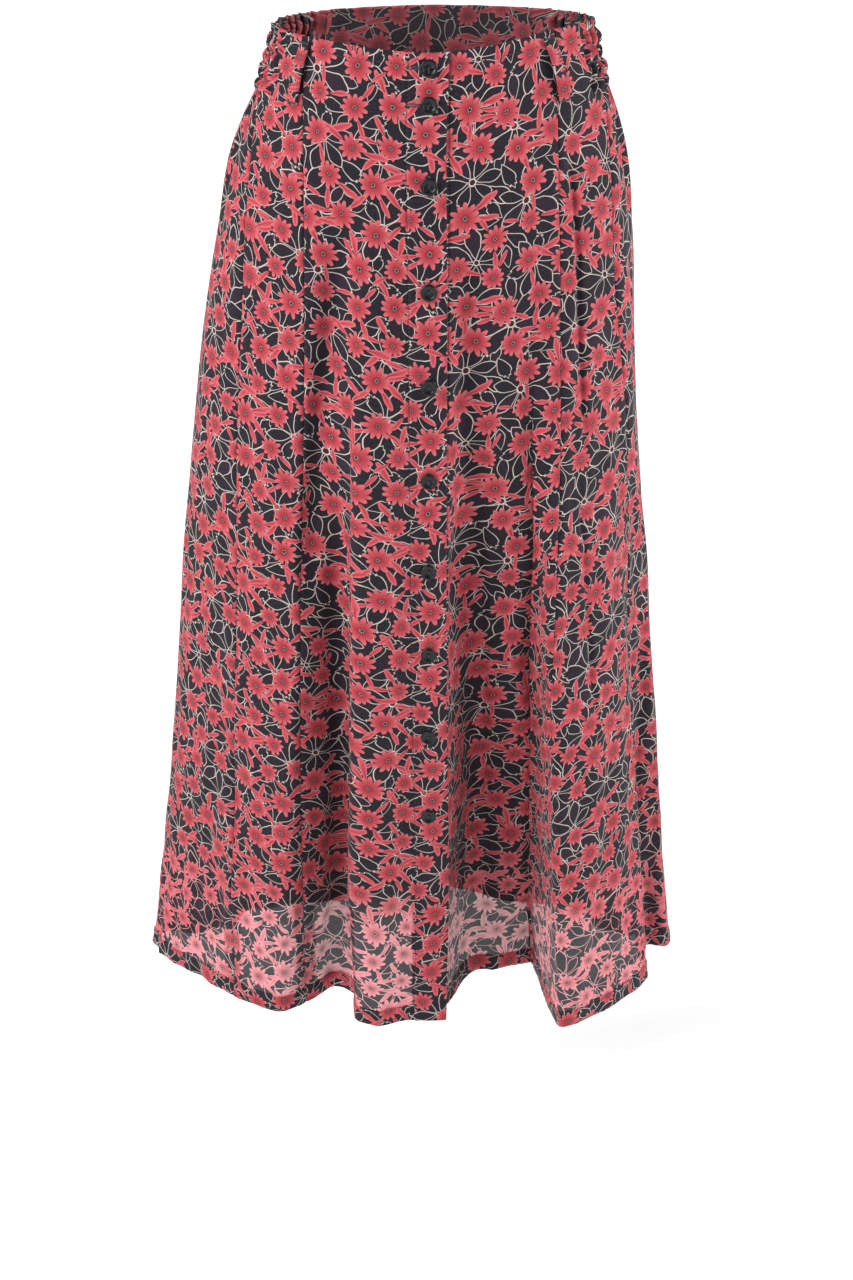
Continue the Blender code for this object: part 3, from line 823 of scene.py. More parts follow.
# The panels' cloth and edges: the seam allowances lie inside, the top edge and the hem are turned
# in, and the fronts' edges are folded bands. Each panel is one thin closed shell.
CUT_OFFSETS = (0.031, 0.052)  # each panel is cut this much further along and down the repeat
THIN = 0.00045
TURNED = 0.00045  # how much thicker the cloth is where it is turned in
TOP_TURNED = 0.0100
HEM_TURNED = 0.0165
LAP_TURNED = 0.0300
TOP_LINE_IN = 0.0014  # how far inside each of these its row of stitches lies
HEM_LINE_IN = 0.0016
LAP_LINE_IN = 0.0012
HEM_LINE_DEEP = 0.00040  # how far the stitches pull the cloth in
LAP_LINE_DEEP = 0.00130
LINE_HALF = 0.0009
LAYER_STEP = 0.00035  # how far the face steps out over a layer that lies under it
HEM_STEP = 0.00045
HEM_RIPPLE = 0.00022
EDGE_DROP = 0.00030  # a folded edge turns in by this much
SEAM_DIP = 0.0013
SEAM_ROLL = 0.0013
SEAM_SHARE = 0.3  # the seams' gaps are this share of the solids' gaps
SEAM_ALLOWANCE = 0.0100
PUCKER_DEPTH = 0.00028
PUCKER_REACH = 0.009
SHEER_FROM = 0.690
SHEER_FULL = 0.755
SHEER_COVER = 0.74
FACES_COVER = 1.1  # the covers of single cloth's outer and inner face add up to this
SOLID_COVER = 0.999  # cloth that covers more than this isn't single
INK_CLEAR = (0.50, 1.00)  # how much of that shows through the dark ground and through the coral
# painted light: the share of the coral's colour painted pink, standing in for the glow of light from
# behind
INK_GLOW = 0.55  # how far light from behind turns the coral pink
FULLNESS = 0.55  # this much more cloth is drawn up by the elastic thread
PANEL_DOWNS = np.concatenate(
    [np.arange(0, 0.060, 0.0022), np.linspace(0.060, 0.8135, 172), np.linspace(0.815, LENGTH, 14)]
)
EDGE_STEPS = np.array([0.0, 0.0005, 0.0011, 0.0019, 0.0032])
LINE_STEPS = np.array([-0.0040, -0.0027, -0.0019, -0.0012, -0.0005, 0.0003, 0.0012])
RUNS = cloth_runs(PANEL_DOWNS[:, None])


def fullness(angle, down):
    """How much wider the cut cloth is than the worn cloth: more where it is drawn up at the sides."""
    share = (np.abs(wrap(angle)) - SHIRR_FROM) / (SHIRR_TO - SHIRR_FROM)
    drawn = smooth(share / END_SHARE) * smooth((1 - share) / END_SHARE)
    return 1 + FULLNESS * drawn * (1 - smooth((down - 0.035) / 0.075))


def band(value, edge, ease):
    """1 below an edge and 0 above it, with a smooth step of width ease."""
    return 1 - smooth((value - edge) / ease + 0.5)


def edge_form(near_first, near_last, down, folded_first, folded_last):
    """How far the cloth stands out at its seams, bands and hem, and how much thicker it is there.

    It steps out where a layer lies under it, and a row of stitches pulls it in as a bell curve.
    """
    rise = -EDGE_DROP * band(down, 0.0006, 0.0012)
    thick = TURNED * band(down, TOP_TURNED, 0.001)
    up = LENGTH - down
    ripple = np.sin(2 * math.pi * (near_first * 85 + up * 60 + 0.6 * np.sin(near_first * 140)))
    rise = rise + band(up, HEM_TURNED, 0.0014) * (HEM_STEP + HEM_RIPPLE * ripple)
    rise = rise - HEM_LINE_DEEP * np.exp(-(((up - HEM_TURNED + HEM_LINE_IN) / LINE_HALF) ** 2))
    thick = thick + 1.6 * TURNED * band(up, HEM_TURNED, 0.0014)
    for near, folded in ((near_first, folded_first), (near_last, folded_last)):
        if folded:
            line = (near - LAP_TURNED + LAP_LINE_IN) / LINE_HALF
            rise = rise + LAYER_STEP * band(near, LAP_TURNED, 0.0012)
            rise = rise - LAP_LINE_DEEP * np.exp(-(line**2))
            rise = rise - EDGE_DROP * band(near, 0.0005, 0.0010)
            thick = thick + 1.2 * TURNED * band(near, LAP_TURNED, 0.0012)
        else:
            pucker = np.sin(2 * math.pi * (down * 58 + 0.7 * np.sin(down * 31)))
            rise = rise - SEAM_DIP * np.exp(-near / SEAM_ROLL)
            rise = rise + LAYER_STEP * band(near, SEAM_ALLOWANCE, 0.003)
            rise = rise + PUCKER_DEPTH * pucker * np.exp(-((near / PUCKER_REACH) ** 2))
    return rise, thick


def cover(near_first, near_last, down, folded_first, folded_last):
    """How much of the light the outer face stops: all of it, but for single cloth near the hem."""
    single = smooth((down - SHEER_FROM) / (SHEER_FULL - SHEER_FROM))
    single = single * (1 - band(LENGTH - down, HEM_TURNED, 0.0012))
    for near, folded in ((near_first, folded_first), (near_last, folded_last)):
        doubled = LAP_TURNED if folded else SEAM_ALLOWANCE
        single = single * (1 - (1.0 if folded else 0.8) * band(near, doubled, 0.0015))
    return 1 - (1 - SHEER_COVER) * single


def columns(width, count, folded_first, folded_last):
    """Places across each row: close at the seams and at a band's stitched line, and even between."""
    gap = 0.5 * SEAM_GAP * SEAM_SHARE
    marks = [gap + EDGE_STEPS + 0 * width]
    if folded_first:
        marks.append(LAP_TURNED + LINE_STEPS + 0 * width)
    if folded_last:
        marks.append(width - LAP_TURNED - LINE_STEPS[::-1])
    marks.append(width - gap - EDGE_STEPS[::-1])
    places = [marks[0]]
    for before, after in zip(marks, marks[1:]):
        start, room = before[:, -1:], after[:, :1] - before[:, -1:]
        number = round(count * float((room / width).mean()))
        places += [start + room * np.linspace(0, 1, number + 1)[None, 1:-1], after]
    return np.concatenate(places, axis=1)


def panel_grid(first, last, count, under, grain, folded):
    """Angles, distances down and places on the cut, for rows that go down and columns across.

    A place across the cut is the cloth's length along its row, with what the elastic draws up. Its
    place down is the length along its column, less what comes from the column's slant.
    """
    down = PANEL_DOWNS[:, None]
    start, end = first(down), last(down)
    dense = start + (end - start) * np.linspace(0, 1, 600)[None, :]
    middle = 0.5 * (dense[:, 1:] + dense[:, :-1])
    step = speed(middle, down, under) * np.diff(dense, axis=1)
    nought = np.zeros((len(down), 1))
    run = np.concatenate([nought, np.cumsum(step, axis=1)], axis=1)
    cut = np.concatenate([nought, np.cumsum(step * fullness(middle, down), axis=1)], axis=1)
    width = run[:, -1:]
    place = columns(width, count, *folded)
    angle = np.stack([np.interp(*row) for row in zip(place, run, dense)])
    across = np.stack([np.interp(*row) for row in zip(place, run, cut)])
    points = skirt(angle, down, under)
    fall = np.linalg.norm(np.diff(points, axis=0), axis=-1)
    slant = np.diff(place - grain * width, axis=0)
    fall = np.sqrt(np.maximum(fall**2 - slant**2, 0.04 * fall**2))
    cut_down = np.concatenate([np.zeros((1, place.shape[1])), np.cumsum(fall, axis=0)])
    flat = np.stack([across - grain * cut[:, -1:], cut_down], axis=-1)
    return angle, np.broadcast_to(down, angle.shape), flat, place, width - place


def grid_faces(index):
    """The quads between the points of a grid, facing away from the wearer."""
    corners = [index[1:, :-1], index[1:, 1:], index[:-1, 1:], index[:-1, :-1]]
    return np.stack(corners, axis=-1).reshape(-1, 4)


def cloth_shell(name, middle, normal, thick, flat, shown, offset):
    """A thin closed wall round a grid of points, printed all over.

    Its outer and inner faces lie half the thickness either side of the grid, and its rim joins them.
    Each face holds the motifs of the print that it shows, found from its place on the cut.
    """
    rows, columns = middle.shape[:2]
    count = rows * columns
    half = 0.5 * thick[..., None] * normal
    points = np.concatenate([(middle + half).reshape(-1, 3), (middle - half).reshape(-1, 3)])
    outer = np.arange(count).reshape(rows, columns)
    rim = np.concatenate([outer[:, 0], outer[-1, 1:], outer[-2::-1, -1], outer[0, -2:0:-1]])
    after = np.roll(rim, -1)
    front = grid_faces(outer)
    edge = np.stack([rim, rim + count, after + count, after], axis=-1)
    cells = np.concatenate([front, front[:, ::-1] + count, edge])
    mesh = bpy.data.meshes.new(name)
    mesh.vertices.add(len(points))
    mesh.vertices.foreach_set("co", points.astype(np.float32).ravel())
    mesh.loops.add(cells.size)
    mesh.loops.foreach_set("vertex_index", cells.astype(np.int32).ravel())
    mesh.polygons.add(len(cells))
    mesh.polygons.foreach_set("loop_start", np.arange(0, cells.size, 4, dtype=np.int32))
    mesh.polygons.foreach_set("use_smooth", np.ones(len(cells), bool))
    sheer = shown.ravel()[front].min(axis=1) < SOLID_COVER
    finish = np.concatenate([sheer * 1, np.full(len(front), 2), np.zeros(len(edge), int)])
    mesh.polygons.foreach_set("material_index", finish.astype(np.int32))
    mesh.update(calc_edges=True)
    cut = mesh.uv_layers.new(name=CUT_MAP)
    spots = flat.reshape(-1, 2)
    cut.uv.foreach_set("vector", (spots[cells % count] + offset).astype(np.float32).ravel())
    printed = np.concatenate([front, edge % count])
    for kind in REACH:
        for slot, value in enumerate(motifs_on(spots, printed, kind, offset)):
            outside, rims = value[: len(front)], value[len(front) :]
            value = np.concatenate([outside, outside[:, ::-1], rims])
            layer = mesh.attributes.new(f"{kind}_{slot}", "FLOAT_VECTOR", "CORNER")
            layer.data.foreach_set("vector", value.astype(np.float32).ravel())
    veil = mesh.attributes.new("cover", "FLOAT", "POINT")
    inner = np.where(shown < SOLID_COVER, FACES_COVER - shown, 1.0)
    veil.data.foreach_set("value", np.concatenate([shown.ravel(), inner.ravel()]).astype(np.float32))
    for finish in (printed_cloth, sheer_cloth, inside_cloth):
        mesh.materials.append(finish)
    made = bpy.data.objects.new(name, mesh)
    bpy.context.scene.collection.objects.link(made)
    return made


def worn(angle, down, near_first, near_last, under, folded):
    """The middle of the worn cloth, its outward normal and its thickness."""
    normal = outward(angle, down, under)
    rise, thick = edge_form(near_first, near_last, down, *folded)
    rise = rise + fine_form(angle, down, RUNS)
    return skirt(angle, down, under) + rise[..., None] * normal, normal, THIN + thick


CLOTH_ROUGHNESS = 0.78
SHEEN = 0.06
WEAVE_APART = 0.00042
CORAL_LIGHT = 0.14  # how bright the coral is


def cloth_material(name, alpha, inside):
    """Printed viscose: the print, small specks of the ground's warp, a low sheen and a fine weave.

    Where alpha is true it lets light through by the shell's cover, more through coral than through
    the ground; on the outer face the glow of light from behind is painted in, turning it pinker there.
    The inside is paler and duller.
    """
    made = bpy.data.materials.new(name)
    made.use_nodes = True
    tree = made.node_tree
    shader = tree.nodes["Principled BSDF"]
    shader.inputs["Roughness"].default_value = CLOTH_ROUGHNESS
    shader.inputs["Sheen Weight"].default_value = SHEEN
    shader.inputs["Sheen Roughness"].default_value = 0.5
    shader.inputs["Specular IOR Level"].default_value = 0.15
    printed = tree.nodes.new("ShaderNodeGroup")
    printed.node_tree = PRINT
    cut = tree.nodes.new("ShaderNodeUVMap")
    cut.uv_map = CUT_MAP
    stretch = tree.nodes.new("ShaderNodeMapping")
    stretch.inputs["Scale"].default_value = (1.0, 0.45, 1.0)
    tree.links.new(cut.outputs["UV"], stretch.inputs["Vector"])
    speck = tree.nodes.new("ShaderNodeTexNoise")
    speck.inputs["Scale"].default_value = 1.0 / (2.2 * WEAVE_APART)
    speck.inputs["Detail"].default_value = 2.0
    speck.inputs["Roughness"].default_value = 0.7
    tree.links.new(stretch.outputs[0], speck.inputs["Vector"])
    faded = ramp_node(tree, speck.outputs["Fac"], 0.52, 0.80, 0.0, 0.16)
    colour = mix_node(tree, faded, printed.outputs["Colour"], WORN_FIBRE)
    if inside:
        colour = mix_node(tree, INSIDE_PALE, colour, INSIDE_TONE)
    tree.links.new(colour, shader.inputs["Base Color"])
    bump = tree.nodes.new("ShaderNodeBump")
    bump.inputs["Strength"].default_value = 0.25
    bump.inputs["Distance"].default_value = 0.0002
    tree.links.new(speck.outputs["Fac"], bump.inputs["Height"])
    tree.links.new(bump.outputs["Normal"], shader.inputs["Normal"])
    if alpha:
        veil = tree.nodes.new("ShaderNodeAttribute")
        veil.attribute_name = "cover"
        glow = tree.nodes.new("ShaderNodeRGBToBW")
        tree.links.new(colour, glow.inputs[0])
        clear = step_node(tree, "SUBTRACT", 1.0, veil.outputs["Fac"])
        if not inside:
            # painted light: the glow of light from behind is painted into the base colour, pinker where
            # the cloth is clearer and its coral brighter
            most = INK_GLOW / (1 - SHEER_COVER)
            lit = ramp_node(tree, glow.outputs[0], 0.02, CORAL_LIGHT, 0.0, most)
            painted_backlight = mix_node(tree, step_node(tree, "MULTIPLY", clear, lit), colour, PAINTED_BACKLIGHT_PINK)
            tree.links.new(painted_backlight, shader.inputs["Base Color"])
        through = ramp_node(tree, glow.outputs[0], 0.0, CORAL_LIGHT, *INK_CLEAR)
        clear = step_node(tree, "MULTIPLY", clear, through)
        tree.links.new(step_node(tree, "SUBTRACT", 1.0, clear), shader.inputs["Alpha"])
    return made


WORN_FIBRE = paint(118, 112, 118)
INSIDE_TONE = paint(82, 72, 76)
INSIDE_PALE = 0.28
# painted light: the pink that coral shows with light behind it, painted into the sheer cloth's colour
PAINTED_BACKLIGHT_PINK = paint(235, 120, 130)
printed_cloth = cloth_material("printed_viscose", False, False)
sheer_cloth = cloth_material("printed_viscose_single", True, False)
inside_cloth = cloth_material("printed_viscose_inside", True, True)

PANELS = (
    # name, first seam, last seam, columns, under the lap, straight grain at, first and last folded
    ("front_side_right", 1, 2, 34, False, 0.5, False, False),
    ("front_centre_right", 2, 4, 62, False, 1.0, False, True),
    ("front_centre_left", 3, 5, 104, True, 0.0, True, False),
    ("front_side_left", 5, 6, 66, False, 0.5, False, False),
    ("back_side_left", 6, 7, 128, False, 0.5, False, False),
    ("back_centre", 7, 8, 76, False, 0.5, False, False),
    ("back_side_right", 8, 9, 128, False, 0.5, False, False),
)


def seam_line(number):
    """A seam's angle at a distance down: the front ones, both back ones, and the first again."""
    if number <= 6:
        return lambda down: seam(number, down)
    if number <= 8:
        return lambda down: back_seam(15 - 2 * number, down)
    return lambda down: seam(1, down) + 360


WORN = {}  # each panel's outer face, its normals, and measures across it that grow with its columns
for number, (name, first, last, count, under, grain, *folded) in enumerate(PANELS):
    angle, down, flat, near_first, near_last = panel_grid(
        seam_line(first), seam_line(last), count, under, grain, folded
    )
    middle, normal, thick = worn(angle, down, near_first, near_last, under, folded)
    measures = {"first": near_first, "last": -near_last, "turn": angle, "x": middle[..., 0]}
    WORN[name] = (middle + 0.5 * thick[..., None] * normal, normal, measures)
    shown = cover(near_first, near_last, down, *folded)
    offset = (1 + number) * np.array(CUT_OFFSETS)
    panel = cloth_shell(name + "_cloth", middle, normal, thick, flat, shown, offset)
    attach(panel, "root")
    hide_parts(name)


# Four belt loops: narrow folded strips of the same cloth, with a row of stitches along each edge,
# sewn down at both ends so that a belt passes between them and the skirt.
LOOP_WIDE = 0.0092
LOOP_THICK = 0.0014
LOOP_STAND = 0.0036
LOOP_BOW = 0.7
LOOP_SLACK = 1.15  # a loop is this much longer than what it spans
LOOPS = (
    # name, angle, top, bottom, lean in degrees, daisy of the repeat that it shows, and how far down
    ("belt_loop_front_right", -49.5, 0.0035, 0.0475, 0.0, 3, 0.013),
    ("belt_loop_front_left", 44.0, 0.0035, 0.0500, 2.5, 8, 0.042),
    ("belt_loop_back_left", 140.0, 0.0035, 0.0475, 0.0, 17, 0.020),
    ("belt_loop_back_right", 220.0, 0.0035, 0.0475, 0.0, 25, 0.030),
)
LOOP_ROWS = 44
LOOP_COLUMNS = 12


def loop_surface(angle, top, bottom, lean, part, across):
    """A place on a loop's middle and its outward normal: part runs from its top to its bottom end.

    It stands off the skirt by a power of a sine, its edges curl in, and it twists a little.
    """
    down = top + (bottom - top) * part
    middle = angle + lean * part
    normal = outward(middle, down)
    flat = skirt(middle, down)
    side = 0.5 * LOOP_WIDE * across / speed(middle, down)
    round_it = skirt(middle + side, down) - flat
    round_it = round_it - (round_it * normal).sum(-1, keepdims=True) * normal
    rest = 0.5 * CLOTH + LIE_GAP + 0.5 * LOOP_THICK
    stand = rest + LOOP_STAND * np.sin(math.pi * part) ** LOOP_BOW
    curl = -0.00055 * across**4 + 0.00018 * np.sin(7 * part + angle) * across
    return flat + round_it + (stand + curl)[..., None] * normal, normal


for name, angle, top, bottom, lean, daisy, daisy_down in LOOPS:
    part, across = np.linspace(0, 1, LOOP_ROWS), np.linspace(-1, 1, LOOP_COLUMNS)
    part, across = np.meshgrid(part, across, indexing="ij")
    middle, normal = loop_surface(angle, top, bottom, lean, part, across)
    flat = np.stack([0.5 * LOOP_WIDE * across, (bottom - top) * LOOP_SLACK * part], axis=-1)
    thick = np.full(part.shape, 0.8 * LOOP_THICK)
    cut = REPEAT["daisy"][daisy, :2] - (0.0, daisy_down)
    loop = cloth_shell(name + "_cloth", middle, normal, thick, flat, np.ones(part.shape), cut)
    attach(loop, "root")
    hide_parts(name)


# The stitching: rows of lockstitch in near-black thread. They hold the turned top edge, the rows of
# elastic thread at the sides, the hem, the two front bands and the edges and ends of the belt loops.
STITCH_PITCH = 0.0031
STITCH = (0.0026, 0.00052, 0.00042)  # length, width and height
BAND_STITCH = (0.0023, 0.00085, 0.00040)  # the line beside the buttons is pulled in and shows most
LOOP_PITCH = 0.0027
LOOP_STITCH = (0.0023, 0.0005, 0.0004)
TACK_PITCH = 0.00046
TACK = (0.0019, 0.0005, 0.0004)
STITCH_SIDES = 6
STITCH_SEED = 3
STITCH_PROFILE = ((-0.72, 0.75), (0.0, 1.0), (0.72, 0.75))  # share of the length, of the width


def on_cloth(name, measure, value, down):
    """Places and normals on a panel's outer face, where one measure of it has these values.

    Each is a mean of the four grid points round it, weighed by how near it lies to each of them.
    """
    face, normal, measures = WORN[name]
    grid = measures[measure]
    value, down = np.broadcast_arrays(np.asarray(value, float), np.asarray(down, float))
    row = np.clip(np.searchsorted(PANEL_DOWNS, down), 1, len(PANEL_DOWNS) - 1)
    part = ((down - PANEL_DOWNS[row - 1]) / (PANEL_DOWNS[row] - PANEL_DOWNS[row - 1]))[:, None]
    line = (1 - part) * grid[row - 1] + part * grid[row]
    column = np.clip((line < value[:, None]).sum(axis=1), 1, grid.shape[1] - 1)
    pick = np.arange(len(value))
    before, after = line[pick, column - 1], line[pick, column]
    share = ((value - before) / (after - before))[:, None]
    found = []
    for field in (face, normal):
        left = (1 - part) * field[row - 1, column - 1] + part * field[row, column - 1]
        right = (1 - part) * field[row - 1, column] + part * field[row, column]
        found.append((1 - share) * left + share * right)
    return found[0], found[1] / np.linalg.norm(found[1], axis=-1, keepdims=True)


def lie_along(places, normals, pitch):
    """Where the stitches of one row lie: middles at every pitch, their headings and their normals."""
    run = np.concatenate([[0], np.cumsum(np.linalg.norm(np.diff(places, axis=0), axis=-1))])
    at = np.arange(0.5 * pitch, run[-1], pitch)

    def on_row(values, shift):
        """The row's places or normals, this far past each stitch's middle."""
        return np.stack([np.interp(at + shift, run, values[:, axis]) for axis in range(3)], axis=-1)

    heading = on_row(places, 0.3 * pitch) - on_row(places, -0.3 * pitch)
    return on_row(places, 0.0), heading, on_row(normals, 0.0)


def smooth_piece(name, points, faces, material):
    """One piece with a closed, smoothly shaded mesh, which is sewn on and so rides on the skirt."""
    mesh = bpy.data.meshes.new(name)
    mesh.from_pydata(points.reshape(-1, 3).tolist(), [], faces)
    mesh.polygons.foreach_set("use_smooth", np.ones(len(mesh.polygons), bool))
    mesh.materials.append(material)
    piece = bpy.data.objects.new(name, mesh)
    bpy.context.scene.collection.objects.link(piece)
    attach(piece, "root")
    return piece


def stitches(name, middle, heading, up, size, material):
    """Many stitches as one mesh: each a pointed bead that lies on the cloth with its ends sunk in."""
    rng = np.random.default_rng(STITCH_SEED)
    heading = heading / np.linalg.norm(heading, axis=-1, keepdims=True)
    side = np.cross(up, heading)
    side = side / np.linalg.norm(side, axis=-1, keepdims=True)
    turn = np.linspace(0, 2 * math.pi, STITCH_SIDES, endpoint=False)
    long, wide, high = size
    rings = [
        np.stack([np.full(STITCH_SIDES, share), bulge * np.cos(turn), bulge * np.sin(turn)], axis=-1)
        for share, bulge in STITCH_PROFILE
    ]
    bead = np.concatenate([[(-1.0, 0, 0)], *rings, [(1.0, 0, 0)]])
    bead = bead * (0.5 * long, 0.5 * wide, 0.5 * high)
    bead[:, 2] += high * (0.35 - 0.75 * (2 * bead[:, 0] / long) ** 2)
    lean = rng.uniform(-0.07, 0.07, (len(middle), 1))
    along_it = heading + lean * side
    points = (
        middle[:, None]
        + bead[None, :, :1] * along_it[:, None]
        + bead[None, :, 1:2] * side[:, None]
        + bead[None, :, 2:] * up[:, None]
    )
    count, last = len(STITCH_PROFILE), len(bead) - 1
    ring = 1 + np.arange(count * STITCH_SIDES).reshape(count, STITCH_SIDES)
    after = np.roll(ring, -1, axis=1)
    quads = np.stack([ring[:-1], ring[1:], after[1:], after[:-1]], axis=-1).reshape(-1, 4)[:, ::-1]
    start = np.stack([np.zeros(STITCH_SIDES, int), after[0], ring[0]], axis=-1)
    end = np.stack([np.full(STITCH_SIDES, last), ring[-1], after[-1]], axis=-1)
    base = (np.arange(len(middle)) * len(bead))[:, None, None]
    faces = (quads[None] + base).reshape(-1, 4).tolist()
    faces += (np.concatenate([start, end])[None] + base).reshape(-1, 3).tolist()
    return smooth_piece(name, points, faces, material)


def thread_material():
    """Near-black polyester thread: its ply shows as fine light flecks, with a low sheen."""
    made = bpy.data.materials.new("thread_black")
    made.use_nodes = True
    tree = made.node_tree
    shader = tree.nodes["Principled BSDF"]
    shader.inputs["Roughness"].default_value = 0.55
    shader.inputs["Sheen Weight"].default_value = 0.1
    place = tree.nodes.new("ShaderNodeTexCoord")
    ply = tree.nodes.new("ShaderNodeTexNoise")
    ply.inputs["Scale"].default_value = 3200.0
    tree.links.new(place.outputs["Object"], ply.inputs["Vector"])
    shade = ramp_node(tree, ply.outputs["Fac"], 0.35, 0.7)
    tree.links.new(mix_node(tree, shade, THREAD_DARK, THREAD_LIGHT), shader.inputs["Base Color"])
    bump = tree.nodes.new("ShaderNodeBump")
    bump.inputs["Strength"].default_value = 0.4
    bump.inputs["Distance"].default_value = 0.0001
    tree.links.new(ply.outputs["Fac"], bump.inputs["Height"])
    tree.links.new(bump.outputs["Normal"], shader.inputs["Normal"])
    return made


THREAD_DARK = paint(16, 14, 18)
THREAD_LIGHT = paint(58, 52, 58)
thread_black = thread_material()


def sew(name, rows, pitch=STITCH_PITCH, size=STITCH, crosswise=False):
    """One piece of stitches along these rows of places and normals, or each one across its row."""
    placed = [lie_along(places, normals, pitch) for places, normals in rows]
    middle, heading, up = (np.concatenate(parts) for parts in zip(*placed))
    if crosswise:
        heading = np.cross(heading, up)
    stitches(name, middle, heading, up, size, thread_black)


def rows_across(down):
    """A row across each panel, from seam to seam, this far down the cloth."""
    rows = []
    for name, *_ in PANELS:
        width = np.interp(down, PANEL_DOWNS, WORN[name][2]["first"][:, -1])
        rows.append(on_cloth(name, "first", np.linspace(0.0010, width - 0.0010, 260), down))
    return rows


sew("top_edge_stitching", rows_across(TOP_TURNED - TOP_LINE_IN))
sew("hem_stitching", rows_across(LENGTH - HEM_TURNED + HEM_LINE_IN))

band_down = np.linspace(0.012, LENGTH - 0.004, 400)
band_line = np.full(band_down.shape, LAP_TURNED - LAP_LINE_IN)
band_rows = [
    on_cloth("front_centre_right", "last", -band_line, band_down),
    on_cloth("front_centre_left", "first", band_line, band_down),
]
sew("front_band_stitching", band_rows, size=BAND_STITCH)

elastic_rows = []
for name in ("front_side_right", "front_side_left", "back_side_right", "back_side_left"):
    turn = WORN[name][2]["turn"]
    for number in range(1, 5):
        down = PUFF_TOP + number * PUFF_PITCH
        low, high = turn[0, 0] + 0.5, turn[0, -1] - 0.5
        near = np.linspace(low, high, 300)
        near = near[(np.abs(wrap(near)) > PUFF_FROM) & (np.abs(wrap(near)) < PUFF_TO)]
        if len(near) > 2:
            elastic_rows.append(on_cloth(name, "turn", near, down))
sew("elastic_stitching", elastic_rows)

loop_rows, tack_rows = [], []
for _, angle, top, bottom, lean, _, _ in LOOPS:
    part = np.linspace(0.02, 0.98, 60)
    for side in (-0.72, 0.72):
        middle, normal = loop_surface(angle, top, bottom, lean, part, np.full(60, side))
        loop_rows.append((middle + 0.4 * LOOP_THICK * normal, normal))
    for end in (0.035, 0.965):
        across = np.linspace(-0.86, 0.86, 20)
        middle, normal = loop_surface(angle, top, bottom, lean, np.full(20, end), across)
        tack_rows.append((middle + 0.4 * LOOP_THICK * normal, normal))
sew("belt_loop_stitching", loop_rows, LOOP_PITCH, LOOP_STITCH)
sew("belt_loop_tacks", tack_rows, TACK_PITCH, TACK, crosswise=True)


# Ten black resin buttons, 12.6 mm wide, turned with a rounded rim and a dished face with two holes.
# Each is sewn on through its holes with black thread.
BUTTON_WIDE = 0.0126
BUTTON_THICK = 0.0030
BUTTON_RIM = 0.0011
BUTTON_DISH = 0.0009
BUTTON_DOWNS = (0.0105, 0.0360, 0.0925, 0.1700, 0.2435, 0.3200, 0.3968, 0.4710, 0.5468, 0.6233)
HOLE_RADIUS = 0.00075
HOLE_APART = 0.0026
HOLE_DEEP = 0.0012
HOLE_EASE = 0.0005
BUTTON_THREAD = (0.0036, 0.0005, 0.0006)
BUTTON_LEANS = (50, 35, 88, 70, 102, 15, 62, 80, 40, 95)  # the turn of each one's pair of holes


def button_material():
    """Black resin: satin, a little uneven, with fine wear."""
    made = bpy.data.materials.new("button_resin")
    made.use_nodes = True
    tree = made.node_tree
    shader = tree.nodes["Principled BSDF"]
    place = tree.nodes.new("ShaderNodeTexCoord")
    wear = tree.nodes.new("ShaderNodeTexNoise")
    wear.inputs["Scale"].default_value = 420.0
    wear.inputs["Detail"].default_value = 3.0
    tree.links.new(place.outputs["Object"], wear.inputs["Vector"])
    colour = mix_node(tree, wear.outputs["Fac"], BUTTON_DARK, BUTTON_LIGHT)
    tree.links.new(colour, shader.inputs["Base Color"])
    shader.inputs["Specular IOR Level"].default_value = 0.28
    rough = ramp_node(tree, wear.outputs["Fac"], 0.3, 0.7, 0.26, 0.38)
    tree.links.new(rough, shader.inputs["Roughness"])
    return made


BUTTON_DARK = paint(7, 8, 11)
BUTTON_LIGHT = paint(14, 15, 19)
button_resin = button_material()
BUTTON_PROFILE = np.array(
    [
        # share of the radius, height
        (0.00, BUTTON_THICK - BUTTON_DISH),
        (0.20, BUTTON_THICK - 1.00 * BUTTON_DISH),
        (0.45, BUTTON_THICK - 0.95 * BUTTON_DISH),
        (0.60, BUTTON_THICK - 0.75 * BUTTON_DISH),
        (0.68, BUTTON_THICK - 0.35 * BUTTON_DISH),
        (0.74, BUTTON_THICK - 0.05 * BUTTON_DISH),
        (0.82, BUTTON_THICK),
        (0.90, BUTTON_THICK - 0.10 * BUTTON_RIM),
        (0.96, BUTTON_THICK - 0.40 * BUTTON_RIM),
        (0.99, BUTTON_THICK - 0.80 * BUTTON_RIM),
        (1.00, 0.50 * BUTTON_THICK),
        (0.97, 0.25 * BUTTON_THICK),
        (0.88, 0.06 * BUTTON_THICK),
        (0.75, 0.0),
        (0.00, 0.0),
    ]
)
BUTTON_TURNS = 64


def button_place(down):
    """Where a button lies: the middle of its back, and its across, upward and outward directions."""
    angle, down = np.array(0.0), np.array(down)
    normal = outward(angle, down)
    across = np.array([1.0, 0.0, 0.0]) - normal[0] * normal
    across = across / np.linalg.norm(across)
    back = skirt(angle, down) + (0.5 * CLOTH + LIE_GAP) * normal
    return back, across, np.cross(normal, across), normal


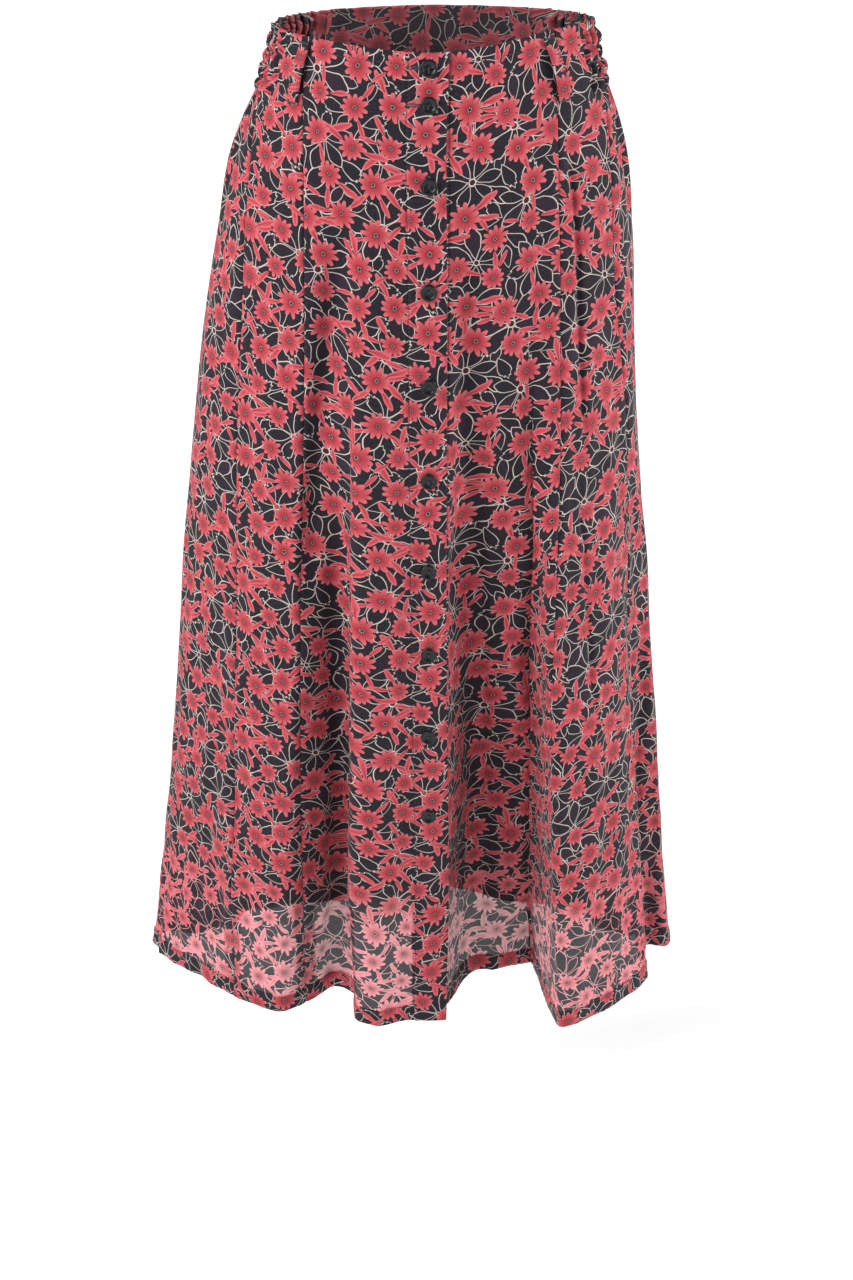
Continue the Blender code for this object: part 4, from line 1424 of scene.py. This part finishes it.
thread_places = []
for number, down in enumerate(BUTTON_DOWNS, start=1):
    back, across, upward, normal = button_place(down)
    share, high = BUTTON_PROFILE[:, 0], BUTTON_PROFILE[:, 1]
    radius = 0.5 * BUTTON_WIDE * share[1:-1]
    turn = np.linspace(0, 2 * math.pi, BUTTON_TURNS, endpoint=False)
    ring_x = radius[:, None] * np.cos(turn)[None, :]
    ring_y = radius[:, None] * np.sin(turn)[None, :]
    dip = np.zeros_like(ring_x)
    lean = math.radians(BUTTON_LEANS[number - 1])
    hole_x, hole_y = 0.5 * HOLE_APART * math.cos(lean), 0.5 * HOLE_APART * math.sin(lean)
    for side in (-1, 1):
        away = np.hypot(ring_x - side * hole_x, ring_y - side * hole_y)
        hole = HOLE_DEEP * band(away, HOLE_RADIUS, HOLE_EASE)
        dip = np.maximum(dip, (high[1:-1, None] > 0.5 * BUTTON_THICK) * hole)
    ring_z = high[1:-1, None] - dip
    local = np.stack([ring_x, ring_y, ring_z], axis=-1).reshape(-1, 3)
    local = np.concatenate([local, [(0, 0, high[0]), (0, 0, high[-1])]])
    points = back + local @ np.stack([across, upward, normal])
    rings = len(radius)
    index = np.arange(rings * BUTTON_TURNS).reshape(rings, BUTTON_TURNS)
    after = np.roll(index, -1, axis=1)
    quads = np.stack([index[:-1], index[1:], after[1:], after[:-1]], axis=-1).reshape(-1, 4).tolist()
    top, bottom = rings * BUTTON_TURNS, rings * BUTTON_TURNS + 1
    caps = [(top, int(a), int(b)) for a, b in zip(index[0], after[0])]
    caps += [(bottom, int(b), int(a)) for a, b in zip(index[-1], after[-1])]
    piece = smooth_piece(f"button_{number:02d}_resin", points, quads + caps, button_resin)
    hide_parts(f"button_{number:02d}")
    toward = math.cos(lean) * across + math.sin(lean) * upward
    aside = np.cross(normal, toward)
    for side in (-0.5, 0.5):
        place = back + (BUTTON_THICK - 0.9 * BUTTON_DISH) * normal + side * 0.0005 * aside
        thread_places.append((place, toward, normal))

middle, heading, up = (np.array(parts) for parts in zip(*thread_places))
threads = stitches("button_threads", middle, heading, up, BUTTON_THREAD, thread_black)


# The buttonholes, worked in near-black satin stitch through the right front: two close columns that
# join at the ends. The top two lie across, and the others run down the band under their buttons.
HOLE_LONG = 0.0145
HOLE_HALF = 0.00075  # from the slit to the middle of a column
COLUMN_HALF = 0.00055
COLUMN_HIGH = 0.00034
COLUMN_SUNK = 0.00006
COLUMN_STEPS = 6
SATIN_PITCH = 0.00052
HOLE_STEPS = 200
ACROSS_HOLES = 2
ACROSS_SHIFT = -0.0088  # an across hole's middle lies to the right of its button


def hole_outline(count):
    """A long ring round the slit: two straight sides and two half circles, and its outward turn."""
    straight = HOLE_LONG - 2 * HOLE_HALF
    whole = 2 * straight + 2 * math.pi * HOLE_HALF
    run = np.linspace(0, whole, count, endpoint=False)
    half = run % (0.5 * whole)
    side = np.where(run < 0.5 * whole, 1.0, -1.0)
    round_it = np.clip((half - straight) / HOLE_HALF, 0, math.pi)
    along_it = np.minimum(half, straight) - 0.5 * straight + HOLE_HALF * np.sin(round_it)
    out = HOLE_HALF * np.cos(round_it)
    heading = np.stack([np.sin(round_it), np.cos(round_it)], axis=-1)
    return run, side[:, None] * np.stack([along_it, out], axis=-1), side[:, None] * heading


def buttonhole(name, x, down, lies_across):
    """A ridged satin ring on the cloth: half an ellipse in section, carried round the slit."""
    run, ring, heading = hole_outline(HOLE_STEPS)
    turn = np.linspace(0, math.pi, COLUMN_STEPS)
    reach = COLUMN_HALF * np.cos(turn)
    ridge = 1 + 0.22 * np.cos(2 * math.pi * run / SATIN_PITCH)
    high = COLUMN_HIGH * np.sin(turn)[None, :] * ridge[:, None] - COLUMN_SUNK
    spot = ring[:, None] + reach[None, :, None] * heading[:, None]
    if lies_across:
        right, fall = spot[..., 0], spot[..., 1]
    else:
        right, fall = -spot[..., 1], spot[..., 0]
    place, up = on_cloth("front_centre_right", "x", (x + right).ravel(), (down + fall).ravel())
    points = place + high.reshape(-1, 1) * up
    index = np.arange(HOLE_STEPS * COLUMN_STEPS).reshape(HOLE_STEPS, COLUMN_STEPS)
    after = np.roll(index, -1, axis=0)
    quads = np.stack([index[:, :-1], after[:, :-1], after[:, 1:], index[:, 1:]], axis=-1)
    under = np.stack([index[:, -1], after[:, -1], after[:, 0], index[:, 0]], axis=-1)
    faces = np.concatenate([quads.reshape(-1, 4), under]).tolist()
    smooth_piece(name, points, faces, thread_black)


for number, down in enumerate(BUTTON_DOWNS, start=1):
    lies_across = number <= ACROSS_HOLES
    x = float(button_place(down)[0][0]) + (ACROSS_SHIFT if lies_across else 0.0)
    buttonhole(f"buttonhole_{number:02d}", x, down, lies_across)


# The studio: a plain white floor that glows with painted light, dimly near the skirt and evenly bright
# further off; soft lights from both sides; and the camera at the photo's angle.
FLOOR_DOWN = -1.05
GLOW_NEAR = 1.3  # the floor glows dimly nearer than this and brightly past the next
GLOW_FAR = 3.2
GLOW_DIM = 0.22
GLOW_BRIGHT = 0.90
FLOOR_REACH = 30
CAMERA_PLACE = (-0.0018, -1.4402, 0.1683)
CAMERA_PITCH = 25.0
CAMERA_SENSOR = 36.0
CAMERA_LENS = CAMERA_SENSOR * 1856 / 1280  # a focal length of 1856 pixels in a picture 1280 high


def area_light(name, place, aim, size, power):
    """A square soft light that points from its place to its aim."""
    made = bpy.data.lights.new(name, "AREA")
    made.shape = "SQUARE"
    made.size = size
    made.energy = power
    item = bpy.data.objects.new(name, made)
    item.location = place
    heading = np.array(aim, float) - np.array(place, float)
    tilt = math.atan2(math.hypot(heading[0], heading[1]), -heading[2])
    item.rotation_euler = (tilt, 0, math.atan2(-heading[0], heading[1]))
    bpy.context.scene.collection.objects.link(item)


area_light("key_light", (-2.6, -1.6, 1.6), (0, 0, -0.4), 2.0, 172)
area_light("side_light", (2.75, -0.55, 0.9), (0, 0, -0.4), 1.2, 102)

floor_mesh = bpy.data.meshes.new("floor")
around = ((-1, -1), (1, -1), (1, 1), (-1, 1))
corners = [(x * FLOOR_REACH, y * FLOOR_REACH, FLOOR_DOWN) for x, y in around]
floor_mesh.from_pydata(corners, [], [(0, 1, 2, 3)])
floor_paper = bpy.data.materials.new("floor_paper")
floor_paper.use_nodes = True
floor_shader = floor_paper.node_tree.nodes["Principled BSDF"]
floor_shader.inputs["Base Color"].default_value = (0.93, 0.93, 0.93, 1.0)
floor_shader.inputs["Roughness"].default_value = 0.9
floor_shader.inputs["Emission Color"].default_value = (1.0, 1.0, 1.0, 1.0)
floor_tree = floor_paper.node_tree
floor_place = floor_tree.nodes.new("ShaderNodeTexCoord")
floor_reach = floor_tree.nodes.new("ShaderNodeVectorMath")
floor_reach.operation = "LENGTH"
floor_tree.links.new(floor_place.outputs["Object"], floor_reach.inputs[0])
floor_glow = floor_tree.nodes.new("ShaderNodeMapRange")
floor_glow.interpolation_type = "SMOOTHSTEP"
floor_glow.inputs["From Min"].default_value = GLOW_NEAR
floor_glow.inputs["From Max"].default_value = GLOW_FAR
floor_glow.inputs["To Min"].default_value = GLOW_DIM
floor_glow.inputs["To Max"].default_value = GLOW_BRIGHT
floor_tree.links.new(floor_reach.outputs["Value"], floor_glow.inputs["Value"])
# painted light: the floor glows though it is no lamp, dimly near the skirt and brightly further off
floor_tree.links.new(floor_glow.outputs["Result"], floor_shader.inputs["Emission Strength"])
floor_mesh.materials.append(floor_paper)
floor = bpy.data.objects.new("floor", floor_mesh)
bpy.context.scene.collection.objects.link(floor)

room = bpy.data.worlds.new("room")
room.use_nodes = True
room.node_tree.nodes["Background"].inputs["Color"].default_value = (1.0, 1.0, 1.0, 1.0)
room.node_tree.nodes["Background"].inputs["Strength"].default_value = 0.25
bpy.context.scene.world = room
bpy.context.scene.view_settings.view_transform = "Standard"

camera_data = bpy.data.cameras.new("camera")
camera_data.sensor_width = CAMERA_SENSOR
camera_data.lens = CAMERA_LENS
camera_data.clip_start = 0.01
camera_data.clip_end = 200
camera = bpy.data.objects.new("camera", camera_data)
camera.location = CAMERA_PLACE
camera.rotation_euler = (math.radians(90 - CAMERA_PITCH), 0, 0)
bpy.context.scene.collection.objects.link(camera)
bpy.context.scene.camera = camera
